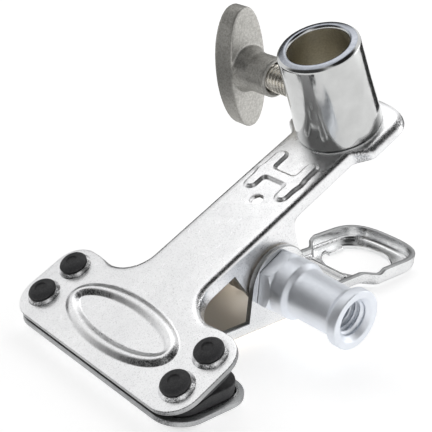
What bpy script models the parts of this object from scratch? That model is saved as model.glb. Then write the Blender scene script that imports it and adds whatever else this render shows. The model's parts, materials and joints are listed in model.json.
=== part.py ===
"""Spring pipe clamp with a receiver socket and a threaded stud.

Two pressed steel levers cross at a pivot.  The flat jaws with rubber pads lie
towards -X, the handles towards +X, the stud points to -Y and the wing screw
to +Y.  The lower lever rests on the ground, +Z is up.  Metres throughout.
"""
import math

import bmesh
import bpy
from mathutils import Euler, Matrix, Vector

for old in list(bpy.data.objects):
    bpy.data.objects.remove(old, do_unlink=True)

# ---------------------------------------------------------------- dimensions
# Sheet and pivot
SHEET = 0.0015                 # thickness of both levers
PIVOT_Z = 0.0128               # pivot axis above the lower lever's inner face
PIVOT_TOP = 0.0147             # upper lever's outer face above the pivot axis
LEVER_ANGLE = 27.4             # degrees between the levers with the jaws shut
REST_TILT = 1.6206              # degrees, nose up, standing on studs and ring
ORIGIN_X = -0.00544             # moves the assembly so its box is centred
ORIGIN_Y = -0.00065
ORIGIN_Z = 0.003208

# Jaw plates, the same on both levers
JAW_FRONT = -0.0515
JAW_HALF = 0.0335
JAW_BACK = -0.0268
JAW_CORNER_FRONT = 0.0080
JAW_CORNER_BACK = 0.0070
FILLET = 0.0085
LIP_START = 0.0240

# Upper lever
UPPER_NECK = 0.0109            # half width over the flanges
UPPER_FLANGE = 0.0041
UPPER_FOLD = 0.0016
HEAD_START = 0.0345
HEAD_FULL = 0.0395
HEAD_HALF = 0.0158
HEAD_RIM = 0.0030
HEAD_FOLD = 0.0026
HEAD_ARC = 0.0480
HEAD_END = 0.0578
UPPER_EAR_X = 0.0009
UPPER_EAR_R = 0.0095
UPPER_EAR_FRONT = (-0.0108, -0.0088)   # top and foot of the ear's front edge
UPPER_EAR_BACK = 0.0102
UPPER_SHOULDER = 0.0050         # flange depth where the ear begins
EAR_SWEEP = 0.00062            # how fast the flange rises behind the ear
EAR_STEPS = 18
FOLD_STEPS = 3

# Lower lever
LOWER_NECK = 0.0129            # half width at the ears
LOWER_WAIST = 0.0109           # half width behind the ears
LOWER_LIP = 0.0046
LOWER_WAIST_RIM = 0.0043
LOWER_FOLD = 0.0030
LOWER_FOLD_JAW = 0.0020         # tighter where the fold runs along the jaw's back
LOWER_EAR_R = 0.0095
TAPER_START = 0.0125
TAPER_END = 0.0190
RING_START = 0.0370
RING_FULL = 0.0420
RING_HALF = 0.0144
RING_RIM = 0.0055
RIM_STEP = (0.0408, 0.0436)
RING_FOLD = 0.0028
RING_ARC = 0.0510
RING_END = 0.0632
RING_BLUNT = 0.72
RING_HOLE_X = 0.0474
RING_HOLE_R = 0.0104

# Pressed details
STUD_U = (-0.0439, -0.0331)
STUD_V = 0.0268
STUD_HOLE_R = 0.0025
COLLAR_BASE_R = 0.0045
COLLAR_TOP_R = 0.0034
COLLAR_HEIGHT = 0.0009
BEAD_U = -0.0391
BEAD_HALF_U = 0.0066
BEAD_HALF_V = 0.0182
BEAD_WIDTH = 0.0019
BEAD_HEIGHT = 0.0012
BEAD_SUNK = 0.00013
BEAD_STEPS = 40
CENTRE_HOLE_U = 0.0099
CENTRE_HOLE_R = 0.0019
RIB_V = 0.0057
RIB_U = (0.0140, 0.0256)
RIB_CROSS_U = 0.0191
RIB_HALF_WIDTH = 0.0019
RIB_HEIGHT = 0.0008
STEP_X = 0.0345
STEP_HALF = 0.0080
STEP_HEIGHT = 0.0013
STEP_ROUND = 0.0016
TAB_X = (0.0444, 0.0510)
TAB_Y = 0.0080

# Rubber pads and their studs
PAD_THICK = 0.0030
PAD_NOSE = 0.0006
PAD_INSET = 0.0019
PAD_CORNER = 0.0060
REST_GAP = 0.00015             # air between parts that sit on each other
STUD_HEAD_R = 0.0038
STUD_SHAFT_R = 0.0022

# Pivot hardware
EAR_HOLE_LOWER = 0.0033
EAR_HOLE_UPPER = 0.0046
SLEEVE_R = 0.0043
SLEEVE_HALF = 0.0112
BOLT_R = 0.0030
BOLT_CLEAR = 0.0033
BOLT_FLATS = 0.0100
BOLT_END = -0.0240
BOLT_SEAT = 0.0157
BOLT_TOP = 0.0196
WASHER_R = 0.0062
WASHER_SPAN = (0.01305, 0.01405)
LOCK_R = 0.0054
LOCK_SPAN = (0.0142, 0.0155)
COIL_R = 0.0064
COIL_HALF = 0.0078
COIL_TURNS = 7
COIL_STEPS = 76
WIRE_R = 0.0010

# Threaded stud on the near side of the pivot
SPIGOT_ROOT = 0.0131           # all lengths from the middle of the clamp
SPIGOT_SHOULDER = 0.0169
SPIGOT_WAIST = 0.0221
SPIGOT_TIP = 0.0390
SPIGOT_R = 0.0079
SPIGOT_WAIST_R = 0.0066
SPIGOT_FLATS = 0.0155
SPIGOT_THREAD_R = 0.0043
SPIGOT_MOUTH_R = 0.0059
SPIGOT_HOLE_END = 0.0262
BOLT_HOLE_END = 0.0250

# Receiver socket and its wing screw
SOCKET_U = 0.0434
SOCKET_TOP = 0.0265
SOCKET_TOP_R = 0.0110
SOCKET_BASE_R = 0.0120
SOCKET_BORE_R = 0.0081
SOCKET_TAIL_R = 0.0096
SOCKET_SPUN_R = 0.0110
SOCKET_END = -0.0027
SCREW_H = 0.0092
SCREW_R = 0.0040
SCREW_HOLE_R = 0.0042
SCREW_END = 0.0101
SCREW_TAIL = 0.0334
TIP_R = 0.0036
TIP_STEM_R = 0.0013
TIP_FACE = 0.0084
BARREL_END = 0.0205
BARREL_R = 0.0057
WING_FACE = 0.0322
WING_LONG = 0.01835
WING_SHORT = 0.0067
WING_CROWN = 0.0019
WING_TURN = 16.3               # degrees the wing leans from the socket's axis

# ---------------------------------------------------------------- scene set-up
parts = bpy.data.collections.new("pipe_clamp")
helpers = bpy.data.collections.new("helpers")
bpy.context.scene.collection.children.link(parts)
bpy.context.scene.collection.children.link(helpers)


def material(name, colour, roughness, metallic):
    """One Principled material."""
    mat = bpy.data.materials.new(name)
    mat.use_nodes = True
    shader = mat.node_tree.nodes["Principled BSDF"]
    shader.inputs["Base Color"].default_value = (*colour, 1.0)
    shader.inputs["Roughness"].default_value = roughness
    shader.inputs["Metallic"].default_value = metallic
    return mat


def empty(name, parent, location, rotation=(0.0, 0.0, 0.0)):
    """Empty that carries a group of parts."""
    node = bpy.data.objects.new(name, None)
    node.empty_display_size = 0.005
    node.location = location
    node.rotation_euler = rotation
    node.parent = parent
    parts.objects.link(node)
    return node


def place(name, mesh, mat, parent, location=(0.0, 0.0, 0.0), rotation=(0.0, 0.0, 0.0)):
    """Adds a sub-part to the assembly."""
    node = bpy.data.objects.new(name, mesh)
    mesh.materials.append(mat)
    node.location = location
    node.rotation_euler = rotation
    node.parent = parent
    parts.objects.link(node)
    return node


def cutter(name, mesh, parent, location=(0.0, 0.0, 0.0), rotation=(0.0, 0.0, 0.0)):
    """Adds a shape that only serves a Boolean."""
    node = bpy.data.objects.new(name, mesh)
    node.location = location
    node.rotation_euler = rotation
    node.parent = parent
    node.hide_render = True
    node.display_type = "WIRE"
    helpers.objects.link(node)
    return node


def boolean(node, other, operation):
    """Exact Boolean of one part with one helper."""
    mod = node.modifiers.new(other.name, "BOOLEAN")
    mod.operation = operation
    mod.solver = "EXACT"
    mod.object = other


# ------------------------------------------------------------- shape builders
def finish_mesh(name, bm):
    """Cleans a bmesh and turns it into a mesh that is shaded smooth."""
    bmesh.ops.remove_doubles(bm, verts=bm.verts, dist=1e-7)
    bmesh.ops.dissolve_degenerate(bm, edges=bm.edges, dist=1e-7)
    bmesh.ops.triangulate(bm, faces=[face for face in bm.faces if len(face.verts) > 4])
    bmesh.ops.recalc_face_normals(bm, faces=bm.faces)
    mesh = bpy.data.meshes.new(name)
    bm.to_mesh(mesh)
    bm.free()
    mesh.shade_smooth()
    mesh.set_sharp_from_angle(angle=math.radians(35.0))
    return mesh


def evaluated_mesh(name, node):
    """Turns a temporary object into a welded mesh and removes the object."""
    bpy.context.view_layer.update()
    graph = bpy.context.evaluated_depsgraph_get()
    source = bpy.data.meshes.new_from_object(node.evaluated_get(graph))
    bm = bmesh.new()
    bm.from_mesh(source)
    bpy.data.meshes.remove(source)
    bpy.data.objects.remove(node)
    return finish_mesh(name, bm)


def turned(name, profile, steps):
    """Turned mesh about Z from (radius, height) points, given from the top down.

    A profile that starts and ends on the axis is solid.  A hollow one comes
    back to its first point.
    """
    bm = bmesh.new()
    verts = [bm.verts.new((radius, 0.0, height)) for radius, height in profile]
    for first, second in zip(verts, verts[1:]):
        bm.edges.new((first, second))
    outline = bpy.data.meshes.new(name + "_profile")
    bm.to_mesh(outline)
    bm.free()
    node = bpy.data.objects.new(name + "_profile", outline)
    bpy.context.scene.collection.objects.link(node)
    screw = node.modifiers.new("turn", "SCREW")
    screw.axis = "Z"
    screw.steps = steps
    screw.render_steps = steps
    screw.use_merge_vertices = True
    screw.merge_threshold = 0.00001
    return evaluated_mesh(name, node)


def tube(name, points, radius, cyclic=False):
    """Round bar along a list of points."""
    curve = bpy.data.curves.new(name + "_path", "CURVE")
    curve.dimensions = "3D"
    curve.bevel_depth = radius
    curve.bevel_resolution = 2
    curve.use_fill_caps = not cyclic
    spline = curve.splines.new("POLY")
    spline.points.add(len(points) - 1)
    for target, point in zip(spline.points, points):
        target.co = (*point, 1.0)
    spline.use_cyclic_u = cyclic
    node = bpy.data.objects.new(name + "_path", curve)
    bpy.context.scene.collection.objects.link(node)
    return evaluated_mesh(name, node)


def slab(name, outline, low, high):
    """Flat plate with a given outline between two heights."""
    curve = bpy.data.curves.new(name + "_outline", "CURVE")
    curve.dimensions = "2D"
    curve.fill_mode = "BOTH"
    curve.extrude = 0.5 * (high - low)
    spline = curve.splines.new("POLY")
    spline.points.add(len(outline) - 1)
    for target, (x, y) in zip(spline.points, outline):
        target.co = (x, y, 0.0, 1.0)
    spline.use_cyclic_u = True
    node = bpy.data.objects.new(name + "_outline", curve)
    bpy.context.scene.collection.objects.link(node)
    mesh = evaluated_mesh(name, node)
    mesh.transform(Matrix.Translation((0.0, 0.0, 0.5 * (low + high))))
    return mesh


def gathered(name, pieces):
    """One mesh from (mesh, place) pairs that stay clear of each other."""
    bm = bmesh.new()
    for mesh, place_at in pieces:
        copy = mesh.copy()
        copy.transform(Matrix.Translation(place_at))
        bm.from_mesh(copy)
        bpy.data.meshes.remove(copy)
    return finish_mesh(name, bm)


def rod(name, radius, low, high, steps=28):
    """Plain round rod along Z."""
    return turned(name, [(0.0, high), (radius, high), (radius, low), (0.0, low)], steps)


def flats(name, across_flats, low, high):
    """Hexagonal ring that cuts six flats on a round bar."""
    inner = corner_radius(across_flats)
    outer = inner + 0.0040
    profile = [(outer, high), (outer, low), (inner, low), (inner, high), (outer, high)]
    return turned(name, profile, 6)


def corner_radius(across_flats):
    """Radius to the corners of a hexagon."""
    return 0.5 * across_flats / math.cos(math.pi / 6.0)


def arc(cx, cy, radius, start, stop, steps):
    """Points on an arc, angles in degrees, both ends included."""
    points = []
    for j in range(steps + 1):
        angle = math.radians(start + (stop - start) * j / steps)
        points.append((cx + radius * math.cos(angle), cy + radius * math.sin(angle)))
    return points


def mirrored(half):
    """Closes a half outline that starts and ends at y = 0."""
    return half + [(x, -y) for x, y in reversed(half[1:-1])]


def ease(value, low, high):
    """Smooth step from 0 to 1 between two limits."""
    t = min(max((value - low) / (high - low), 0.0), 1.0)
    return t * t * (3.0 - 2.0 * t)


def loft(bm, rings):
    """Skins a list of equal vertex loops and closes both ends."""
    for low, high in zip(rings, rings[1:]):
        for j in range(len(low)):
            k = (j + 1) % len(low)
            bm.faces.new((low[j], low[k], high[k], high[j]))
    bm.faces.new(rings[0])
    bm.faces.new(list(reversed(rings[-1])))


def pressed_sheet(half, fold_of, depth_of):
    """Sheet plate with turned flanges, its outer face at height 0.

    Each outline point carries a section: the fold, the outer wall, the edge
    and the inner side of the same sheet.
    """
    outline = mirrored(half)
    sections = []
    for j, (x, y) in enumerate(outline):
        ahead = Vector(outline[(j + 1) % len(outline)])
        behind = Vector(outline[j - 1])
        along = (ahead - behind).normalized()
        outward = Vector((-along.y, along.x))
        if JAW_BACK + FILLET < x < HEAD_ARC - 0.0001:
            outward = Vector((0.0, math.copysign(1.0, y)))
        radius = fold_of(x, abs(y))
        depth = max(depth_of(x, abs(y)), SHEET)
        section = []
        for step in range(FOLD_STEPS + 1):
            angle = 0.5 * math.pi * step / FOLD_STEPS
            section.append((radius * (1.0 - math.sin(angle)), radius * (1.0 - math.cos(angle))))
        section.append((0.0, depth))
        section.append((SHEET, depth))
        section.append((SHEET, min(max(radius, SHEET), depth)))
        section.append((SHEET + max(radius - SHEET, 0.0), SHEET))
        sections.append([(x - outward.x * inset, y - outward.y * inset, -drop) for inset, drop in section])
    bm = bmesh.new()
    rings = [[bm.verts.new(section[level]) for section in sections] for level in range(len(sections[0]))]
    loft(bm, rings)
    return bm


def jaw_outline(neck):
    """Half outline from the nose to the start of the neck."""
    points = [(JAW_FRONT, 0.0)]
    corner = JAW_HALF - JAW_CORNER_FRONT
    points += arc(JAW_FRONT + JAW_CORNER_FRONT, corner, JAW_CORNER_FRONT, 180.0, 90.0, 6)
    corner = JAW_HALF - JAW_CORNER_BACK
    points += arc(JAW_BACK - JAW_CORNER_BACK, corner, JAW_CORNER_BACK, 90.0, 0.0, 5)
    points += [(JAW_BACK, LIP_START + 0.0005), (JAW_BACK, LIP_START - 0.0012)]
    points += arc(JAW_BACK + FILLET, neck + FILLET, FILLET, 180.0, 270.0, 7)
    return points


def widening(start, stop, narrow, wide, steps):
    """Smooth change of half width along a lever, without its first point."""
    points = []
    for j in range(1, steps + 1):
        x = start + (stop - start) * j / steps
        points.append((x, narrow + (wide - narrow) * ease(x, start, stop)))
    return points


def rounded_end(centre, half_width, end, steps=9, power=0.8):
    """Half outline of a blunt rounded end."""
    points = []
    for j in range(steps):
        angle = 0.5 * math.pi * (1.0 - j / steps)
        x = centre + (end - centre) * max(math.cos(angle), 0.0) ** power
        points.append((x, half_width * math.sin(angle) ** power))
    return points + [(end, 0.0)]


def ear_stations(centre, radius, front, back):
    """Positions along a lever where an ear's round edge is sampled."""
    round_part = [centre - radius * math.cos(math.pi * j / EAR_STEPS) for j in range(EAR_STEPS + 1)]
    kept = [x for x in round_part if front < x < back]
    return [front] + kept + [back]


def upper_outline():
    """Half outline of the upper lever."""
    points = jaw_outline(UPPER_NECK)
    xs = [-0.0145, UPPER_EAR_FRONT[0], -0.0103, -0.0096]
    xs += ear_stations(UPPER_EAR_X, UPPER_EAR_R, UPPER_EAR_FRONT[1], UPPER_EAR_BACK)
    xs += [UPPER_EAR_BACK + step for step in (0.0003, 0.0007, 0.0012, 0.0018, 0.0027, 0.0042)]
    points += [(x, UPPER_NECK) for x in xs]
    points += [(HEAD_START, UPPER_NECK)]
    points += widening(HEAD_START, HEAD_FULL, UPPER_NECK, HEAD_HALF, 4)
    return points + rounded_end(HEAD_ARC, HEAD_HALF, HEAD_END)


def lip_factor(x, y):
    """0 on the flat jaw, 1 where the edge is turned over."""
    if x > JAW_BACK + 0.0005:
        return 1.0
    if x < JAW_BACK - 0.0005:
        return 0.0
    return 1.0 - ease(y, LIP_START - 0.0030, LIP_START)


def upper_fold(x, y):
    """Outer fold radius along the upper lever."""
    radius = UPPER_FOLD + (HEAD_FOLD - UPPER_FOLD) * ease(x, HEAD_START, HEAD_FULL)
    return radius * lip_factor(x, y)


def upper_depth(x, y):
    """Flange depth along the upper lever, measured from the outer face."""
    front, ear = UPPER_EAR_FRONT
    if x > HEAD_START:
        return UPPER_FLANGE + (HEAD_RIM - UPPER_FLANGE) * ease(x, HEAD_START, HEAD_FULL)
    if x <= front:
        return SHEET + (UPPER_FLANGE + 0.0004 - SHEET) * lip_factor(x, y)
    if x < ear:
        return UPPER_SHOULDER + (x - front) / (ear - front) * (PIVOT_TOP - UPPER_SHOULDER)
    if x <= UPPER_EAR_BACK:
        reach = UPPER_EAR_R ** 2 - (x - UPPER_EAR_X) ** 2
        return PIVOT_TOP + math.sqrt(max(reach, 0.0))
    past = (x - UPPER_EAR_BACK) / EAR_SWEEP
    return UPPER_FLANGE + (PIVOT_TOP - UPPER_FLANGE) * math.exp(-past)


def lower_outline():
    """Half outline of the lower lever."""
    points = jaw_outline(LOWER_NECK)
    xs = [-0.0130, -LOWER_EAR_R - 0.0003]
    xs += ear_stations(0.0, LOWER_EAR_R, -LOWER_EAR_R, LOWER_EAR_R)
    xs += [LOWER_EAR_R + 0.0003, TAPER_START]
    points += [(x, LOWER_NECK) for x in xs]
    points += widening(TAPER_START, TAPER_END, LOWER_NECK, LOWER_WAIST, 4)
    points += [(RING_START, LOWER_WAIST)]
    points += widening(RING_START, RING_FULL, LOWER_WAIST, RING_HALF, 4)
    points += [(RIM_STEP[1], RING_HALF)]
    return points + rounded_end(RING_ARC, RING_HALF, RING_END, power=RING_BLUNT)


def lower_fold(x, y):
    """Outer fold radius along the lower lever."""
    radius = LOWER_FOLD_JAW + (LOWER_FOLD - LOWER_FOLD_JAW) * ease(x, JAW_BACK, JAW_BACK + FILLET)
    radius += (RING_FOLD - LOWER_FOLD) * ease(x, RING_START, RING_FULL)
    return radius * lip_factor(x, y)


def lower_depth(x, y):
    """Flange height along the lower lever, measured from the outer face."""
    if x > RING_START:
        return LOWER_WAIST_RIM + (RING_RIM - LOWER_WAIST_RIM) * ease(x, *RIM_STEP)
    if x < -LOWER_EAR_R:
        return SHEET + (LOWER_LIP - SHEET) * lip_factor(x, y)
    if x > LOWER_EAR_R:
        return LOWER_LIP + (LOWER_WAIST_RIM - LOWER_LIP) * ease(x, LOWER_EAR_R, TAPER_END)
    return SHEET + PIVOT_Z + math.sqrt(max(LOWER_EAR_R ** 2 - x ** 2, 0.0))


def oval_bead(name):
    """Raised oval bead on the jaw, half sunk in the plate."""
    points = []
    for j in range(BEAD_STEPS):
        angle = 2.0 * math.pi * j / BEAD_STEPS
        points.append((BEAD_U + BEAD_HALF_U * math.cos(angle), BEAD_HALF_V * math.sin(angle), 0.0))
    mesh = tube(name, points, BEAD_WIDTH, cyclic=True)
    flatten = Matrix.Diagonal((1.0, 1.0, BEAD_HEIGHT / BEAD_WIDTH, 1.0))
    mesh.transform(Matrix.Translation((0.0, 0.0, -BEAD_SUNK)) @ flatten)
    return mesh


def rib(name, start, stop, half_width, rise):
    """Raised rib with round ends and sloping sides between two points."""
    start = Vector(start)
    stop = Vector(stop)
    heading = math.degrees(math.atan2(stop.y - start.y, stop.x - start.x))
    bm = bmesh.new()
    rings = []
    for height in (-0.5 * rise, rise):
        radius = half_width - 0.7 * height
        outline = arc(stop.x, stop.y, radius, heading - 90.0, heading + 90.0, 8)
        outline += arc(start.x, start.y, radius, heading + 90.0, heading + 270.0, 8)
        rings.append([bm.verts.new((x, y, height)) for x, y in outline])
    loft(bm, rings)
    return finish_mesh(name, bm)


def at_studs(name, mesh):
    """Repeats a mesh at the four rubber studs of a jaw."""
    spots = [(u, v, 0.0) for u in STUD_U for v in (STUD_V, -STUD_V)]
    return gathered(name, [(mesh, spot) for spot in spots])


def collar(name):
    """Raised collar round one stud hole."""
    foot = COLLAR_BASE_R + 0.0006
    profile = [(0.0, COLLAR_HEIGHT), (COLLAR_TOP_R, COLLAR_HEIGHT), (foot, -0.0006), (0.0, -0.0006)]
    return turned(name, profile, 24)


def ring_eye(name):
    """Finger hole of the ring, with the small tab left standing in it."""
    edge = [math.sqrt(RING_HOLE_R ** 2 - (x - RING_HOLE_X) ** 2) for x in TAB_X]
    start = math.degrees(math.atan2(edge[0], TAB_X[0] - RING_HOLE_X))
    stop = math.degrees(math.atan2(edge[1], TAB_X[1] - RING_HOLE_X)) + 360.0
    outline = arc(RING_HOLE_X, 0.0, RING_HOLE_R, start, stop, 34)
    outline += [(TAB_X[1], TAB_Y), (TAB_X[0], TAB_Y)]
    return slab(name, outline, -0.0060, 0.0030)


def pad_blank(name):
    """Rubber pad blank, its back at height 0."""
    front = JAW_FRONT + PAD_INSET
    back = JAW_BACK - PAD_INSET
    corner = JAW_HALF - PAD_INSET - PAD_CORNER
    half = [(front, 0.0)] + arc(front + PAD_CORNER, corner, PAD_CORNER, 180.0, 90.0, 5)
    half += arc(back - PAD_CORNER, corner, PAD_CORNER, 90.0, 0.0, 5) + [(back, 0.0)]
    return slab(name, mirrored(half), -PAD_THICK, 0.0)


def pad_nose(name):
    """Wedge that takes the slope off the pad's nose, along the line where the pads meet."""
    rise = math.tan(math.radians(0.5 * LEVER_ANGLE))
    front = JAW_FRONT + PAD_INSET - 0.0030
    top = PAD_NOSE - 0.0030 * rise
    bottom = PAD_THICK + 0.0010
    side = [(front, -top), (front + (bottom - top) / rise, -bottom), (front, -bottom)]
    return slab(name, side, -JAW_HALF - 0.0050, JAW_HALF + 0.0050)


def pad_stud(name):
    """One mushroom stud, its head dimpled, standing on the pad's back."""
    back = SHEET + REST_GAP
    seat = back + COLLAR_HEIGHT + REST_GAP
    profile = [(0.0, back + 0.0023), (0.0014, back + 0.0023), (0.0016, back + 0.0026)]
    profile += [(0.0023, back + 0.0025), (STUD_HEAD_R - 0.0005, back + 0.0021)]
    profile += [(STUD_HEAD_R, back + 0.0015), (STUD_HEAD_R - 0.0006, seat)]
    profile += [(STUD_SHAFT_R, seat), (STUD_SHAFT_R, -0.0012), (0.0, -0.0012)]
    return turned(name, profile, 14)


def spring_points():
    """Centre line of the torsion spring about the pivot axis."""
    tip = Vector((0.0055, 0.0, 0.0100))
    tip.rotate(Euler((0.0, -slope, 0.0)))
    foot = Vector((0.0200, 0.0, -PIVOT_Z + WIRE_R + 0.0002))
    start = math.atan2(tip.z, tip.x) + math.acos(COIL_R / tip.length)
    stop = math.atan2(foot.z, foot.x) - math.acos(COIL_R / foot.length)
    stop += 2.0 * math.pi * COIL_TURNS
    points = [(tip.x, -COIL_HALF, tip.z)]
    for j in range(COIL_STEPS + 1):
        angle = start + (stop - start) * j / COIL_STEPS
        along = COIL_HALF * (2.0 * j / COIL_STEPS - 1.0)
        points.append((COIL_R * math.cos(angle), along, COIL_R * math.sin(angle)))
    return points + [(foot.x, COIL_HALF, foot.z)]


# ------------------------------------------------------------------ assembly
tilt = math.radians(REST_TILT)
slope = math.radians(LEVER_ANGLE)
to_y = (-0.5 * math.pi, 0.0, 0.0)      # turns a shape's Z to +Y
to_near = (0.5 * math.pi, 0.0, 0.0)    # turns a shape's Z to -Y
flip = Matrix.Translation((0.0, 0.0, -SHEET)) @ Matrix.Scale(-1.0, 4, (0.0, 0.0, 1.0))

stand = empty("stand", None, (ORIGIN_X, ORIGIN_Y, ORIGIN_Z), (0.0, tilt, 0.0))
pivot = empty("pivot", stand, (0.0, 0.0, PIVOT_Z))
jaw_axis = empty("jaw_axis", stand, (0.0, 0.0, PIVOT_Z), (0.0, -slope, 0.0))
plate = empty("upper_plate", jaw_axis, (0.0, 0.0, PIVOT_TOP))
screw_axis = empty("screw_axis", plate, (SOCKET_U, 0.0, SCREW_H))


def add_upper_lever():
    """Upper lever: jaw, ears, neck with its H rib, and the head."""
    zinc = material("zinc_plate_upper", (0.78, 0.79, 0.80), 0.28, 1.0)
    mesh = finish_mesh("upper_lever", pressed_sheet(upper_outline(), upper_fold, upper_depth))
    node = place("upper_lever", mesh, zinc, plate)
    raised = {"upper_bead": oval_bead("upper_bead")}
    raised["upper_collars"] = at_studs("upper_collars", collar("collar"))
    for side, sign in (("far", 1.0), ("near", -1.0)):
        name = "upper_rib_" + side
        ends = ((RIB_U[0], sign * RIB_V), (RIB_U[1], sign * RIB_V))
        raised[name] = rib(name, *ends, RIB_HALF_WIDTH, RIB_HEIGHT)
    ends = ((RIB_CROSS_U, -RIB_V), (RIB_CROSS_U, RIB_V))
    raised["upper_rib_cross"] = rib("upper_rib_cross", *ends, RIB_HALF_WIDTH, RIB_HEIGHT - 0.0001)
    for name, mesh in raised.items():
        boolean(node, cutter(name, mesh, plate), "UNION")
    stud_holes = at_studs("upper_stud_holes", rod("stud_hole", STUD_HOLE_R, -0.0040, 0.0030, 20))
    boolean(node, cutter("upper_stud_holes", stud_holes, plate), "DIFFERENCE")
    centre = rod("upper_centre_hole", CENTRE_HOLE_R, -0.0040, 0.0030, 20)
    boolean(node, cutter("upper_centre_hole", centre, plate, (CENTRE_HOLE_U, 0.0, 0.0)), "DIFFERENCE")
    seat = rod("upper_socket_hole", SOCKET_TAIL_R + 0.0002, -0.0060, 0.0030, 36)
    boolean(node, cutter("upper_socket_hole", seat, plate, (SOCKET_U, 0.0, 0.0)), "DIFFERENCE")
    bore = rod("upper_ear_holes", EAR_HOLE_UPPER, -0.0200, 0.0200)
    boolean(node, cutter("upper_ear_holes", bore, jaw_axis, rotation=to_y), "DIFFERENCE")


def add_lower_lever():
    """Lower lever: jaw, ears, waist with its step, and the finger ring."""
    zinc = material("zinc_plate_lower", (0.74, 0.75, 0.76), 0.28, 1.0)
    bm = pressed_sheet(lower_outline(), lower_fold, lower_depth)
    bmesh.ops.transform(bm, matrix=flip, verts=bm.verts)
    node = place("lower_lever", finish_mesh("lower_lever", bm), zinc, stand)
    below = {"lower_bead": oval_bead("lower_bead")}
    below["lower_collars"] = at_studs("lower_collars", collar("collar"))
    for name, mesh in below.items():
        mesh.transform(flip)
        mesh.flip_normals()
        boolean(node, cutter(name, mesh, stand), "UNION")
    ends = ((STEP_X, STEP_ROUND - STEP_HALF), (STEP_X, STEP_HALF - STEP_ROUND))
    boolean(node, cutter("lower_step", rib("lower_step", *ends, STEP_ROUND, STEP_HEIGHT), stand), "UNION")
    stud_holes = at_studs("lower_stud_holes", rod("stud_hole", STUD_HOLE_R, -0.0045, 0.0025, 20))
    boolean(node, cutter("lower_stud_holes", stud_holes, stand), "DIFFERENCE")
    boolean(node, cutter("lower_ring_eye", ring_eye("lower_ring_eye"), stand), "DIFFERENCE")
    bore = rod("lower_ear_holes", EAR_HOLE_LOWER, -0.0200, 0.0200)
    boolean(node, cutter("lower_ear_holes", bore, pivot, rotation=to_y), "DIFFERENCE")


def add_pad(name, parent, location, rotation):
    """Rubber pad with its nose slope and its four studs, one moulding."""
    rubber = material(name + "_rubber", (0.020, 0.020, 0.022), 0.75, 0.0)
    node = place(name, pad_blank(name), rubber, parent, location, rotation)
    nose = cutter(name + "_nose", pad_nose(name + "_nose"), node, rotation=(0.5 * math.pi, 0.0, 0.0))
    boolean(node, nose, "DIFFERENCE")
    studs = at_studs(name + "_studs", pad_stud("pad_stud"))
    boolean(node, cutter(name + "_studs", studs, node), "UNION")


def add_pivot():
    """Bolt, sleeve, washers and torsion spring on the pivot axis."""
    steel = material("bolt_steel", (0.55, 0.56, 0.58), 0.35, 1.0)
    bright = material("washer_steel", (0.70, 0.70, 0.70), 0.30, 1.0)
    dark = material("lock_washer_steel", (0.40, 0.40, 0.41), 0.40, 1.0)
    sleeve_steel = material("sleeve_steel", (0.50, 0.50, 0.51), 0.40, 1.0)
    spring_steel = material("spring_steel", (0.22, 0.22, 0.24), 0.40, 1.0)
    corners = corner_radius(BOLT_FLATS)
    profile = [(0.0, BOLT_TOP), (corners - 0.0008, BOLT_TOP), (corners, BOLT_TOP - 0.0006)]
    profile += [(corners, BOLT_SEAT), (BOLT_R, BOLT_SEAT), (BOLT_R, BOLT_END + 0.0004)]
    profile += [(BOLT_R - 0.0004, BOLT_END), (0.0, BOLT_END)]
    bolt = place("pivot_bolt", turned("pivot_bolt", profile, 24), steel, pivot, rotation=to_y)
    head = flats("bolt_flats", BOLT_FLATS, BOLT_SEAT - 0.0002, BOLT_TOP + 0.0010)
    boolean(bolt, cutter("bolt_flats", head, pivot, rotation=to_y), "DIFFERENCE")

    tube_wall = [(SLEEVE_R, SLEEVE_HALF), (SLEEVE_R, -SLEEVE_HALF), (BOLT_CLEAR, -SLEEVE_HALF)]
    tube_wall += [(BOLT_CLEAR, SLEEVE_HALF), (SLEEVE_R, SLEEVE_HALF)]
    place("pivot_sleeve", turned("pivot_sleeve", tube_wall, 28), sleeve_steel, pivot, rotation=to_y)

    low, high = WASHER_SPAN
    ring = [(WASHER_R, high), (WASHER_R, low), (BOLT_CLEAR, low), (BOLT_CLEAR, high), (WASHER_R, high)]
    place("plain_washer", turned("plain_washer", ring, 28), bright, pivot, rotation=to_y)

    low, high = LOCK_SPAN
    ring = [(LOCK_R, high), (LOCK_R, low), (BOLT_CLEAR, low), (BOLT_CLEAR, high), (LOCK_R, high)]
    washer = place("spring_washer", turned("spring_washer", ring, 28), dark, pivot, rotation=to_y)
    split = bmesh.new()
    size = Matrix.Diagonal((2.0 * LOCK_R, 0.0006, 3.0 * (high - low), 1.0))
    offset = Matrix.Translation((LOCK_R, 0.0, 0.5 * (low + high)))
    bmesh.ops.create_cube(split, size=1.0, matrix=offset @ size)
    gap = cutter("spring_washer_gap", finish_mesh("spring_washer_gap", split), pivot, rotation=to_y)
    boolean(washer, gap, "DIFFERENCE")

    place("torsion_spring", tube("torsion_spring", spring_points(), WIRE_R), spring_steel, pivot)


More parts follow.
